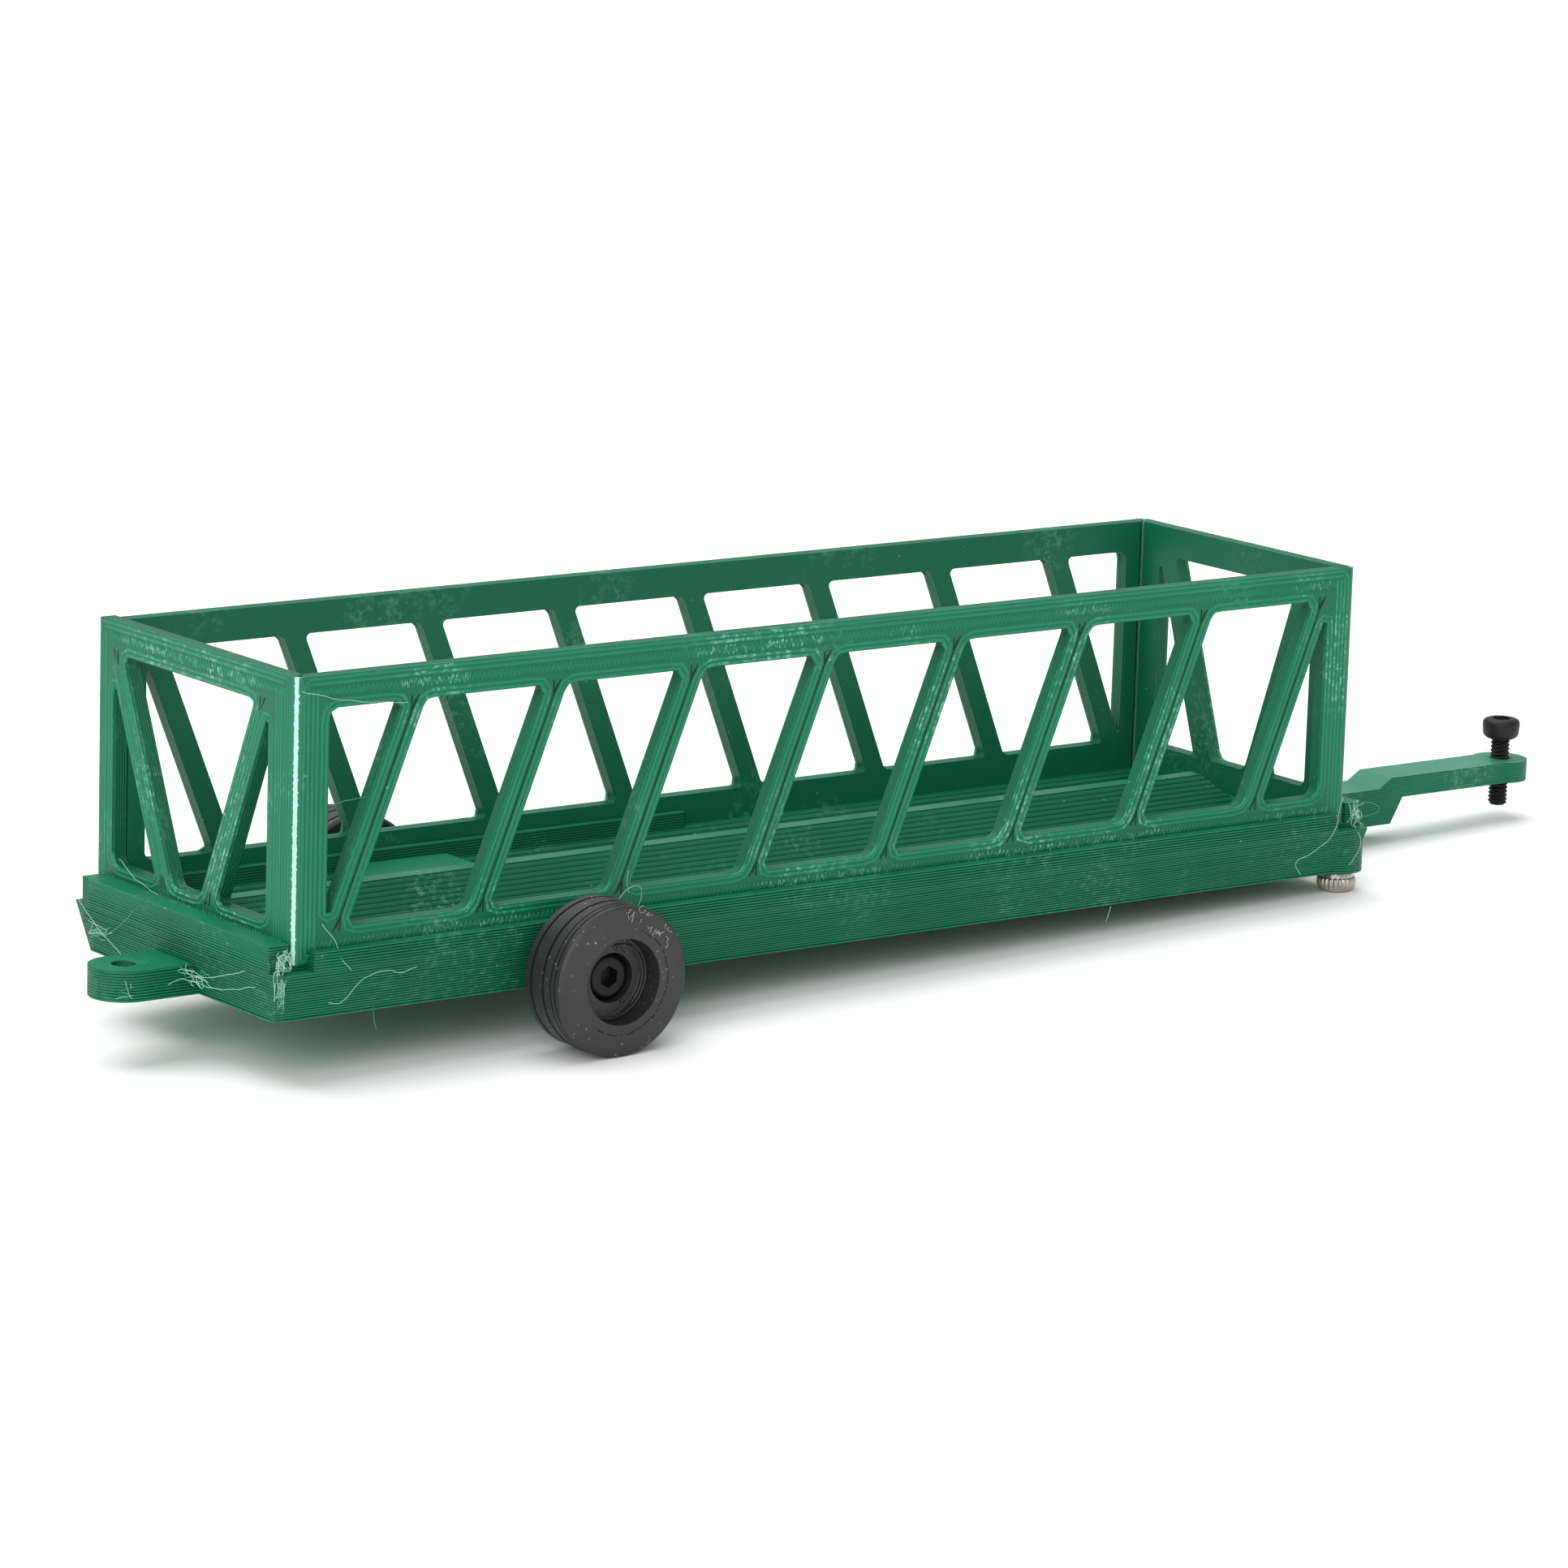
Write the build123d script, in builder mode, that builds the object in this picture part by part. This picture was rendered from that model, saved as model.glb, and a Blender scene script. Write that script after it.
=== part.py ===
from build123d import *
import os

os.makedirs("parts", exist_ok=True)

# Small printed model of a livestock feeder wagon.  Millimetres, +X towards the drawbar,
# +Y to the wagon's left, +Z up.  The origin is the middle of the whole length and width,
# on the level of the two tyres' lowest points.

# cage: four slatted panels standing in the tray
cage_length = 120.0
cage_width = 31.7
panel_thickness = 1.5
panel_bottom = 5.0          # above the tray's underside
panel_top = 30.1
top_rail_height = 2.9
bottom_rail_height = 2.9
post_width = 3.4
opening_blunt_radius = 1.1    # corners wider than a right angle
opening_square_radius = 0.9
opening_sharp_radius = 0.45
opening_tip_radius = 0.2      # where a bar meets a post

# side panel bars
side_bar_count = 8
side_bar_width = 2.2        # measured level, along the panel
side_bar_lean = 7.74        # how far a bar's top stands ahead of its foot
side_bar_inset = 8.3        # panel end to the first bar's middle, at half height
side_bar_end_inset = 7.96   # the last bar's middle to the panel's other end

# end panel bars
end_bar_width = 2.5
end_post_width = 4.35       # from the cage's side face
front_bar_foot = 3.8        # middle of the two bars to a bar's foot
front_bar_head = 1.2        # a bar's top from the opening's edge
rear_bar_foot = 3.67
rear_bar_head = 0.655
rear_bar_offset = 0.325     # the two bars' middle, left of the opening's middle
rear_free_end = 0.85        # the rear panel's free end beyond the cage's left face
rear_free_post = 2.35

# fold strips joining three of the four cage corners
strip_radius = 0.65
strip_thickness = 0.4
free_corner_gap = 0.1       # the left panel's free end stands this far off the rear panel

# tray
side_wall_run = 1.45          # how far the leaning side wall spreads, up to the crease
underside_overhang = 1.45     # beyond the cage at each end
crease_overhang = 2.2
crease_height = 4.5
side_rim_top = 6.25
end_rim_top = 6.9
rim_thickness = 0.8
slot_clearance = 0.25
trough_floor = 1.6
trough_floor_inner = 4.9
trough_floor_side = 5.35      # from the cage's side face
trough_mouth_side = 2.85
trough_mouth_end = 3.0        # from the cage's outer end face
trough_floor_end = 5.5
ridge_top = 7.55
ridge_top_width = 1.6
ridge_front_hip = 3.0
ridge_front_clearance = 2.5
lip_thickness = 0.8
lip_top = 6.5
lip_length = 59.5
notch_floor = 4.5
side_notch_clearance = 0.1    # between a side rim's end and the end panel
end_notch = 1.2               # from the crease along the end rims

# rear tab
tab_reach = 10.4              # beyond the cage's rear face
tab_half_width = 3.15
tab_thickness = 2.75
tab_hole_clearance = 0.1      # round a hitch pin

# wheels and axle screws
axle_inset = 28.95            # from the cage's rear face
axle_height = 1.88            # above the tray's underside
wheel_radius = 6.78
wheel_width = 5.5
wheel_outset = 8.4            # outer face beyond the cage's side
tyre_bore_radius = 4.73
tyre_edge_radius = 0.25
tread_grooves = ((0.85, 0.16, 0.18), (1.45, 0.16, 0.2), (2.65, 0.3, 0.36), (4.45, 0.3, 0.36))
hub_recess_radius = 3.89
hub_recess_depth = 1.9
axle_head_clearance = 0.35    # round the screw's head
axle_running_clearance = 0.05
axle_block_length = 12.0
axle_block_cover = 1.85       # beyond the screw's tip
axle_block_top = 5.5
axle_boss_radius = 1.8
axle_boss_end_gap = 0.3

# machine screws: axle, foot and hitch pin are the same size
screw_radius = 1.0
screw_head_radius = 1.9
screw_head_height = 2.0
screw_head_edge = 0.35
socket_across_flats = 1.75
socket_depth = 1.1
screw_hole_clearance = 0.05
axle_head_setback = 2.25      # head face behind the wheel's outer face
axle_screw_length = 10.0
screw_tip_chamfer = 0.3

# feet under the two front corners
foot_inset = 1.8              # from the cage's side face
foot_ahead = 1.0              # beyond the cage's front face
foot_head_height = 2.1
foot_screw_length = 4.0
foot_boss_radius = 2.4

# drawbar
drawbar_reach = 38.0          # eye's front end beyond the cage's front face
drawbar_width = 4.8
drawbar_block_bottom = 0.4
drawbar_block_top = 4.1
drawbar_arm_bottom = 3.0
drawbar_arm_top = 5.1
block_top_end = 16.7          # beyond the cage's front face
block_bottom_end = 18.4
slope_top_run = 1.6
slope_bottom_run = 1.5
eye_radius = 2.8
tongue_length = 5.0
tongue_width = 3.4
tongue_bottom = 1.0
tongue_top = 3.6
tongue_clearance = 0.1
tongue_root_depth = 1.0       # how far the tongue runs into the block
drawbar_wall_gap = 0.05

# hitch pin
pin_head_underside = 7.2      # above the tray's underside
pin_tip = 0.26

base = wheel_radius - axle_height
rear = -(cage_length + drawbar_reach - tab_reach) / 2
front = rear + cage_length
middle = (rear + front) / 2
half_cage = cage_width / 2
panel_height = panel_top - panel_bottom
opening_bottom = bottom_rail_height
opening_top = panel_height - top_rail_height
opening_height = opening_top - opening_bottom
wheel_face = half_cage + wheel_outset
axle_seat = wheel_face - axle_head_setback - screw_head_height
axle_x = rear + axle_inset
axle_z = base + axle_height
pin_x = front + drawbar_reach - eye_radius
ridge_half_at_ledge = ridge_top_width / 2 + (trough_floor_inner - ridge_top_width / 2) * (
    ridge_top - panel_bottom
) / (ridge_top - trough_floor)


def save(part, label):
    part.label = label
    export_step(part, f"parts/{label}.step")


# tray: a leaning-sided box with a rim, a slot for the cage, two troughs and a middle ridge
rim_outer_x = cage_length + 2 * crease_overhang
slot_outer_x = cage_length + 2 * slot_clearance
slot_outer_y = cage_width + 2 * slot_clearance
crease_width = slot_outer_y + 2 * rim_thickness
side_notch = panel_thickness + side_notch_clearance
trough_floor_outer = half_cage - trough_floor_side
trough_mouth_outer = half_cage - trough_mouth_side
axle_block_inner = axle_seat - axle_screw_length - axle_block_cover
trough_middle_y = (trough_floor_inner + trough_floor_outer) / 2
mouth_middle_y = (ridge_half_at_ledge + trough_mouth_outer) / 2
boss_x = front + foot_ahead
boss_y = half_cage - foot_inset
tab_hole_x = rear - tab_reach + tab_half_width
lip_y = half_cage - panel_thickness - slot_clearance - lip_thickness / 2

with BuildPart() as base_tray:
    with BuildSketch(Plane.XY.offset(base)):
        with Locations((middle, 0)):
            Rectangle(cage_length + 2 * underside_overhang, crease_width - 2 * side_wall_run)
    with BuildSketch(Plane.XY.offset(base + crease_height)):
        with Locations((middle, 0)):
            Rectangle(rim_outer_x, crease_width)
    loft(ruled=True)
    with BuildSketch(Plane.XY.offset(base + crease_height)):
        with Locations((middle, 0)):
            Rectangle(rim_outer_x, crease_width)
    extrude(amount=end_rim_top - crease_height)
    # the side rims are lower than the end rims
    with BuildSketch(Plane.XY.offset(base + side_rim_top)):
        with Locations((middle, 0)):
            Rectangle(cage_length - 2 * side_notch, crease_width + 1)
    extrude(amount=end_rim_top, mode=Mode.SUBTRACT)
    with BuildSketch(Plane.XY.offset(base + panel_bottom)):
        with Locations((middle, 0)):
            Rectangle(slot_outer_x, slot_outer_y)
    extrude(amount=end_rim_top, mode=Mode.SUBTRACT)
    # corner notches
    notch_x = crease_overhang + side_notch
    with BuildSketch(Plane.XY.offset(base + notch_floor)):
        for end_x in (rear - crease_overhang + notch_x / 2, front + crease_overhang - notch_x / 2):
            with Locations((end_x, crease_width / 2), (end_x, -crease_width / 2)):
                Rectangle(notch_x, 2 * end_notch)
    extrude(amount=end_rim_top, mode=Mode.SUBTRACT)
    # ridge above the ledge, hipped at its front end
    with BuildSketch(Plane.YZ.offset(rear + panel_thickness + slot_clearance)):
        Polygon(
            (-ridge_half_at_ledge, base + panel_bottom),
            (-ridge_top_width / 2, base + ridge_top),
            (ridge_top_width / 2, base + ridge_top),
            (ridge_half_at_ledge, base + panel_bottom),
            align=None,
        )
    extrude(amount=cage_length - panel_thickness - slot_clearance - ridge_front_clearance)
    with BuildSketch(Plane.XZ):
        with BuildLine():
            hip_x = front - ridge_front_clearance
            Polyline(
                (hip_x, base + panel_bottom),
                (hip_x - ridge_front_hip, base + ridge_top),
                (hip_x - ridge_front_hip, base + ridge_top + 1),
                (hip_x + 1, base + ridge_top + 1),
                (hip_x + 1, base + panel_bottom),
                close=True,
            )
        make_face()
    extrude(amount=half_cage, both=True, mode=Mode.SUBTRACT)
    # troughs
    for side in (1, -1):
        with BuildSketch(Plane.XY.offset(base + trough_floor)):
            with Locations((middle, side * trough_middle_y)):
                Rectangle(cage_length - 2 * trough_floor_end, trough_floor_outer - trough_floor_inner)
        with BuildSketch(Plane.XY.offset(base + panel_bottom)):
            with Locations((middle, side * mouth_middle_y)):
                Rectangle(cage_length - 2 * trough_mouth_end, trough_mouth_outer - ridge_half_at_ledge)
        loft(ruled=True, mode=Mode.SUBTRACT)
    for side in (1, -1):
        # lip that keeps the side panel upright
        with BuildSketch(Plane.XY.offset(base + panel_bottom)):
            with Locations((rear + trough_mouth_end + lip_length / 2, side * lip_y)):
                SlotOverall(lip_length, lip_thickness)
        extrude(amount=lip_top - panel_bottom)
        # block and boss that take the axle screw
        block_outer = half_cage - panel_thickness - slot_clearance
        with BuildSketch(Plane.XY.offset(base)):
            with Locations((axle_x, side * (axle_block_inner + block_outer) / 2)):
                Rectangle(axle_block_length, block_outer - axle_block_inner)
        extrude(amount=axle_block_top)
        boss_tip = wheel_face - wheel_width - axle_boss_end_gap
        with BuildSketch(Plane.XZ.offset(-side * axle_block_inner)):
            with Locations((axle_x, axle_z)):
                Circle(axle_boss_radius)
        extrude(amount=-side * (boss_tip - axle_block_inner))
        with BuildSketch(Plane.XZ.offset(-side * axle_block_inner)):
            with Locations((axle_x, axle_z)):
                Circle(screw_radius + screw_hole_clearance)
        extrude(amount=-side * (boss_tip + 1), mode=Mode.SUBTRACT)
        # corner boss for the foot screw
        with BuildSketch(Plane.XY.offset(base)):
            with Locations((boss_x, side * boss_y)):
                Circle(foot_boss_radius)
        extrude(amount=notch_floor)
        with BuildSketch(Plane.XY.offset(base)):
            with Locations((boss_x, side * boss_y)):
                Circle(screw_radius + screw_hole_clearance)
        extrude(amount=foot_screw_length + screw_hole_clearance, mode=Mode.SUBTRACT)
    # rear tab
    with BuildSketch(Plane.XY.offset(base)):
        with Locations((tab_hole_x, 0)):
            Circle(tab_half_width)
        with Locations(((tab_hole_x + rear) / 2, 0)):
            Rectangle(rear - tab_hole_x, 2 * tab_half_width)
    extrude(amount=tab_thickness)
    with BuildSketch(Plane.XY.offset(base)):
        with Locations((tab_hole_x, 0)):
            Circle(screw_radius + tab_hole_clearance)
    extrude(amount=tab_thickness, mode=Mode.SUBTRACT)
    # socket for the drawbar's tongue
    with BuildSketch(Plane.YZ.offset(front + crease_overhang + 1)):
        with Locations((0, base + (tongue_bottom + tongue_top) / 2)):
            Rectangle(
                tongue_width + 2 * tongue_clearance,
                tongue_top - tongue_bottom + 2 * tongue_clearance,
            )
    extrude(amount=-(tongue_length + 1 + tongue_clearance), mode=Mode.SUBTRACT)
save(base_tray.part, "base_tray")

corner_rounding = (
    (10, 40, opening_tip_radius),
    (40, 80, opening_sharp_radius),
    (80, 100, opening_square_radius),
    (100, 150, opening_blunt_radius),
)


def corner_angle(gap, corner):
    """Angle between the two edges of a gap's outline that meet at a corner, in degrees."""
    ways = []
    for edge in gap.edges():
        if (edge @ 0 - corner.center()).length < 1e-4:
            ways.append(edge % 0)
        elif (edge @ 1 - corner.center()).length < 1e-4:
            ways.append(edge % 1 * -1)
    return ways[0].get_angle(ways[1])


def round_openings(panel_sketch):
    """Round every corner of a panel's openings, by how sharp it is."""
    for least, most, radius in corner_rounding:
        marks = [
            corner.center()
            for gap in panel_sketch.sketch_local.face().inner_wires()
            for corner in gap.vertices()
            if least < corner_angle(gap, corner) <= most
        ]
        corners = [
            corner
            for corner in panel_sketch.vertices()
            if any((corner.center() - mark).length < 1e-4 for mark in marks)
        ]
        if corners:
            fillet(corners, radius=radius)


def corner_cut(x, y, run_x, run_y):
    """Add a triangle with its square corner at x, y to the open sketch."""
    Polygon((x, y), (x + run_x, y), (x, y + run_y), align=None)


# side panels: the left one is the right one turned end for end
mitre = panel_thickness - strip_thickness
side_bar_pitch = (cage_length - side_bar_inset - side_bar_end_inset) / (side_bar_count - 1)
side_names = {-1: "side_panel_right", 1: "side_panel_left"}
for side, side_name in side_names.items():
    rear_gap = strip_radius if side < 0 else panel_thickness + free_corner_gap
    panel_length = cage_length - rear_gap - strip_radius
    with BuildPart() as side_panel:
        with BuildSketch(Plane.XZ.offset(-side * half_cage)) as side_sketch:
            with Locations((rear + rear_gap + panel_length / 2, base + panel_bottom + panel_height / 2)):
                Rectangle(panel_length, panel_height)
            with Locations((middle, base + panel_bottom + (opening_bottom + opening_top) / 2)):
                Rectangle(cage_length - 2 * post_width, opening_height, mode=Mode.SUBTRACT)
            for index in range(side_bar_count):
                bar_x = middle + side * (cage_length / 2 - side_bar_inset - index * side_bar_pitch)
                foot_x = bar_x + side * side_bar_lean / 2
                head_x = bar_x - side * side_bar_lean / 2
                Polygon(
                    (foot_x - side_bar_width / 2, base + panel_bottom + opening_bottom),
                    (foot_x + side_bar_width / 2, base + panel_bottom + opening_bottom),
                    (head_x + side_bar_width / 2, base + panel_bottom + opening_top),
                    (head_x - side_bar_width / 2, base + panel_bottom + opening_top),
                    align=None,
                )
            round_openings(side_sketch)
        extrude(amount=side * panel_thickness)
        # mitred behind the fold strips
        with BuildSketch(Plane.XY.offset(base + panel_bottom)):
            inner_y = side * (half_cage - panel_thickness)
            corner_cut(front - strip_radius, inner_y, -mitre, side * mitre)
            if side < 0:
                corner_cut(rear + strip_radius, inner_y, mitre, side * mitre)
        extrude(amount=panel_height, mode=Mode.SUBTRACT)
    save(side_panel.part, side_name)

# end panels: two bars that spread upwards; the rear one overreaches the free corner
rear_bars = (rear_bar_offset, rear_bar_foot, rear_bar_head)
front_bars = (0.0, front_bar_foot, front_bar_head)
rear_free_y = half_cage + rear_free_end
end_panels = (
    ("end_panel_rear", rear, 1, rear_free_y, rear_free_y - rear_free_post, rear_bars),
    ("end_panel_front", front, -1, half_cage - strip_radius, half_cage - end_post_width, front_bars),
)
right_y = -half_cage + strip_radius
opening_right_y = -half_cage + end_post_width
for end_name, face_x, inward, left_y, opening_left_y, (bar_offset, bar_foot, bar_head) in end_panels:
    opening_middle = (opening_right_y + opening_left_y) / 2
    opening_half = (opening_left_y - opening_right_y) / 2
    bar_middle = opening_middle + bar_offset
    with BuildPart() as end_panel:
        with BuildSketch(Plane.YZ.offset(face_x)) as end_sketch:
            with Locations(((right_y + left_y) / 2, base + panel_bottom + panel_height / 2)):
                Rectangle(left_y - right_y, panel_height)
            with Locations((opening_middle, base + panel_bottom + (opening_bottom + opening_top) / 2)):
                Rectangle(2 * opening_half, opening_height, mode=Mode.SUBTRACT)
            for lean_way in (1, -1):
                foot_y = bar_middle + lean_way * bar_foot
                head_y = bar_middle + lean_way * (opening_half - bar_head)
                Polygon(
                    (foot_y - end_bar_width / 2, base + panel_bottom + opening_bottom),
                    (foot_y + end_bar_width / 2, base + panel_bottom + opening_bottom),
                    (head_y + end_bar_width / 2, base + panel_bottom + opening_top),
                    (head_y - end_bar_width / 2, base + panel_bottom + opening_top),
                    align=None,
                )
            round_openings(end_sketch)
        extrude(amount=inward * panel_thickness)
        with BuildSketch(Plane.XY.offset(base + panel_bottom)):
            inner_x = face_x + inward * panel_thickness
            corner_cut(inner_x, right_y, -inward * mitre, mitre)
            if left_y < half_cage:
                corner_cut(inner_x, left_y, -inward * mitre, -mitre)
        extrude(amount=panel_height, mode=Mode.SUBTRACT)
    save(end_panel.part, end_name)

# fold strips: thin quarter-round webs at three corners
strips = (
    ("fold_strip_rear_right", rear + strip_radius, -half_cage + strip_radius, 180),
    ("fold_strip_front_right", front - strip_radius, -half_cage + strip_radius, 270),
    ("fold_strip_front_left", front - strip_radius, half_cage - strip_radius, 0),
)
for strip_name, strip_x, strip_y, start_angle in strips:
    with BuildPart() as fold_strip:
        with BuildSketch(Plane.XY.offset(base + panel_bottom)):
            with Locations(Location((strip_x, strip_y, 0), (0, 0, start_angle))):
                Circle(strip_radius)
                Circle(strip_radius - strip_thickness, mode=Mode.SUBTRACT)
                Rectangle(
                    2 * strip_radius, strip_radius, align=(Align.CENTER, Align.MAX), mode=Mode.SUBTRACT
                )
                Rectangle(
                    strip_radius, 2 * strip_radius, align=(Align.MAX, Align.CENTER), mode=Mode.SUBTRACT
                )
        extrude(amount=panel_height)
    save(fold_strip.part, strip_name)

# drawbar: block, slope, thin arm and eye, with a tongue glued into the tray's front wall
wall_slope = (crease_overhang - underside_overhang) / crease_height
block_foot_x = front + underside_overhang + wall_slope * drawbar_block_bottom + drawbar_wall_gap
block_head_x = front + underside_overhang + wall_slope * drawbar_block_top + drawbar_wall_gap
tongue_end_x = front + crease_overhang - tongue_length
with BuildPart() as drawbar:
    with BuildSketch(Plane.XZ):
        Polygon(
            (block_foot_x, base + drawbar_block_bottom),
            (front + block_bottom_end, base + drawbar_block_bottom),
            (front + block_bottom_end + slope_bottom_run, base + drawbar_arm_bottom),
            (pin_x, base + drawbar_arm_bottom),
            (pin_x, base + drawbar_arm_top),
            (front + block_top_end + slope_top_run, base + drawbar_arm_top),
            (front + block_top_end, base + drawbar_block_top),
            (block_head_x, base + drawbar_block_top),
            align=None,
        )
    extrude(amount=drawbar_width / 2, both=True)
    with BuildSketch(Plane.XY.offset(base + drawbar_arm_bottom)):
        with Locations((pin_x, 0)):
            Circle(eye_radius)
    extrude(amount=drawbar_arm_top - drawbar_arm_bottom)
    with BuildSketch(Plane.XY.offset(base + tongue_bottom)):
        with Locations((tongue_end_x, 0)):
            Rectangle(
                block_head_x + tongue_root_depth - tongue_end_x,
                tongue_width,
                align=(Align.MIN, Align.CENTER),
            )
    extrude(amount=tongue_top - tongue_bottom)
    with BuildSketch(Plane.XY.offset(base + drawbar_arm_bottom)):
        with Locations((pin_x, 0)):
            Circle(screw_radius + screw_hole_clearance)
    extrude(amount=drawbar_arm_top - drawbar_arm_bottom, mode=Mode.SUBTRACT)
save(drawbar.part, "drawbar")


def socket_screw(label, seat, toward_tip, length, head_height):
    """Cap screw: seat is the point under its head, toward_tip the way its shank goes."""
    seat_plane = Plane(origin=seat, z_dir=toward_tip)
    with BuildPart() as screw:
        with BuildSketch(seat_plane):
            Circle(screw_head_radius)
        extrude(amount=-head_height)
        fillet(screw.edges().group_by(seat_sort(seat_plane))[0], radius=screw_head_edge)
        with BuildSketch(seat_plane):
            Circle(screw_radius)
        extrude(amount=length)
        chamfer(screw.edges().group_by(seat_sort(seat_plane))[-1], length=screw_tip_chamfer)
        with BuildSketch(seat_plane.offset(-head_height)):
            RegularPolygon(socket_across_flats / 2, 6, major_radius=False)
        extrude(amount=socket_depth, mode=Mode.SUBTRACT)
    save(screw.part, label)


def seat_sort(seat_plane):
    """Axis along a screw, from its head to its tip."""
    return Axis(seat_plane.origin, seat_plane.z_dir)


socket_screw(
    "hitch_pin",
    (pin_x, 0, base + pin_head_underside),
    (0, 0, -1),
    pin_head_underside - pin_tip,
    screw_head_height,
)

counterbore_depth = wheel_face - axle_seat + screw_hole_clearance
sides = {-1: "right", 1: "left"}
for side, side_word in sides.items():
    socket_screw(
        f"foot_screw_{side_word}",
        (boss_x, side * boss_y, base),
        (0, 0, 1),
        foot_screw_length,
        foot_head_height,
    )
    socket_screw(
        f"axle_screw_{side_word}",
        (axle_x, side * axle_seat, axle_z),
        (0, -side, 0),
        axle_screw_length,
        screw_head_height,
    )
    # wheel profiles: across is the radius, up is the depth behind the outer face
    profile = Plane(origin=(axle_x, side * wheel_face, axle_z), x_dir=(1, 0, 0), z_dir=(0, 0, -side))
    spin = Axis((axle_x, 0, axle_z), (0, 1, 0))
    with BuildPart() as tyre:
        with BuildSketch(profile) as tyre_sketch:
            with Locations(((tyre_bore_radius + wheel_radius) / 2, wheel_width / 2)):
                Rectangle(wheel_radius - tyre_bore_radius, wheel_width)
            chamfer(tyre_sketch.vertices().group_by(Axis.X)[-1], length=tyre_edge_radius)
            for depth_from_face, groove_width, groove_depth in tread_grooves:
                with Locations((wheel_radius, depth_from_face)):
                    Rectangle(2 * groove_depth, groove_width, mode=Mode.SUBTRACT)
        revolve(axis=spin)
    save(tyre.part, f"tyre_{side_word}")
    with BuildPart() as wheel_rim:
        with BuildSketch(profile):
            Polygon(
                (hub_recess_radius, 0),
                (tyre_bore_radius, 0),
                (tyre_bore_radius, wheel_width),
                (screw_radius + axle_running_clearance, wheel_width),
                (screw_radius + axle_running_clearance, counterbore_depth),
                (screw_head_radius + axle_head_clearance, counterbore_depth),
                (screw_head_radius + axle_head_clearance, hub_recess_depth),
                (hub_recess_radius, hub_recess_depth),
                align=None,
            )
        revolve(axis=spin)
    save(wheel_rim.part, f"wheel_rim_{side_word}")
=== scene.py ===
import math
import random

import bpy
from mathutils import Matrix, Vector


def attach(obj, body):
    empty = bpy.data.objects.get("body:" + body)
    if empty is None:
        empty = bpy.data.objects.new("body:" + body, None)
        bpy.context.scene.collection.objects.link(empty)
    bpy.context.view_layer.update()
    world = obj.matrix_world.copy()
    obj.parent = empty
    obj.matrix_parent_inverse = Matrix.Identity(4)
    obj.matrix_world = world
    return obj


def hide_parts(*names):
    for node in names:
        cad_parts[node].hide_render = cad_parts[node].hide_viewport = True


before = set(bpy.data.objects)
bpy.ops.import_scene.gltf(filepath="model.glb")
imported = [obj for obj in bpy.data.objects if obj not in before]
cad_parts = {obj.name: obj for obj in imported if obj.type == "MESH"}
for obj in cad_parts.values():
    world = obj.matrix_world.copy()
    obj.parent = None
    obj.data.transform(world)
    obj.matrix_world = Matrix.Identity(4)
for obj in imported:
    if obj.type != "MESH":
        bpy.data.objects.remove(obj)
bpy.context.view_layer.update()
mm = 0.001


# the wagon's own measures, in millimetres, in the row frame
wagon = {
    "base": 4.9,
    "rear": -73.8,
    "front": 46.2,
    "halfCage": 15.85,
    "panelBottom": 5.0,
    "panelTop": 30.1,
    "railHeight": 2.9,
    "postWidth": 3.4,
    "stripRadius": 0.65,
    "sideBarWidth": 2.2,
    "sideBarPitch": 14.82,
    "sideBarLean": 7.74,
    "sideBarInset": 8.3,
    "sideBarCount": 8,
    "endBarWidth": 2.5,
    "endPostWidth": 4.35,
    "frontBars": {"middle": 0.0, "foot": 3.8, "head": 10.3},
    "rearBars": {"middle": 1.75, "foot": 3.67, "head": 12.27},
    "rearFreeEnd": 16.7,
    "rearFreePost": 2.35,
    "freeCornerGap": 1.6,
    "layer": 0.25,
    "lineWidth": 0.45,
    "axleX": -44.85,
    "axleZ": 6.78,
    "wheelFace": 24.25,
    "pinX": 81.4,
    "bossX": 47.2,
    "bossY": 14.05,
}
middleX = (wagon["rear"] + wagon["front"]) / 2
halfLength = (wagon["front"] - wagon["rear"]) / 2
diagonal = 0.7071  # share of a slanting length along each of its two axes
openingLow = wagon["base"] + wagon["panelBottom"] + wagon["railHeight"]
openingHigh = wagon["base"] + wagon["panelTop"] - wagon["railHeight"]
panelLow = wagon["base"] + wagon["panelBottom"]
panelHigh = wagon["base"] + wagon["panelTop"]


# linear colour from an sRGB hex text
def colour(hexText):
    parts = [int(hexText[i:i + 2], 16) / 255 for i in (0, 2, 4)]
    linear = [p / 12.92 if p <= 0.04045 else ((p + 0.055) / 1.055) ** 2.4 for p in parts]
    return linear + [1.0]


# puts a value or another node's output into an input socket
def feed(tree, socket, value):
    if isinstance(value, bpy.types.NodeSocket):
        tree.links.new(value, socket)
    else:
        socket.default_value = value


# adds a node; each input is a value or another node's output socket
def addNode(tree, kind, inputs=None, **settings):
    made = tree.nodes.new(kind)
    for key, value in settings.items():
        setattr(made, key, value)
    for key, value in (inputs or {}).items():
        feed(tree, made.inputs[key], value)
    return made


def calc(tree, operation, first, second=0.0, third=0.0):
    made = addNode(tree, "ShaderNodeMath", {0: first, 1: second, 2: third}, operation=operation)
    return made.outputs[0]


def mixColour(tree, factor, first, second):
    made = addNode(tree, "ShaderNodeMix", {"Factor": factor}, data_type="RGBA")
    for index, value in ((6, first), (7, second)):  # the two colour sockets
        feed(tree, made.inputs[index], value)
    return made.outputs[2]


# noise over the object's own coordinates
def noiseFactor(tree, place, scale, detail, roughness=0.5):
    made = addNode(tree, "ShaderNodeTexNoise", {
        "Vector": place, "Scale": scale, "Detail": detail, "Roughness": roughness})
    return made.outputs["Fac"]


def newMaterial(name):
    made = bpy.data.materials.new(name)
    made.use_nodes = True
    tree = made.node_tree
    return made, tree, tree.nodes["Principled BSDF"]


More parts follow.
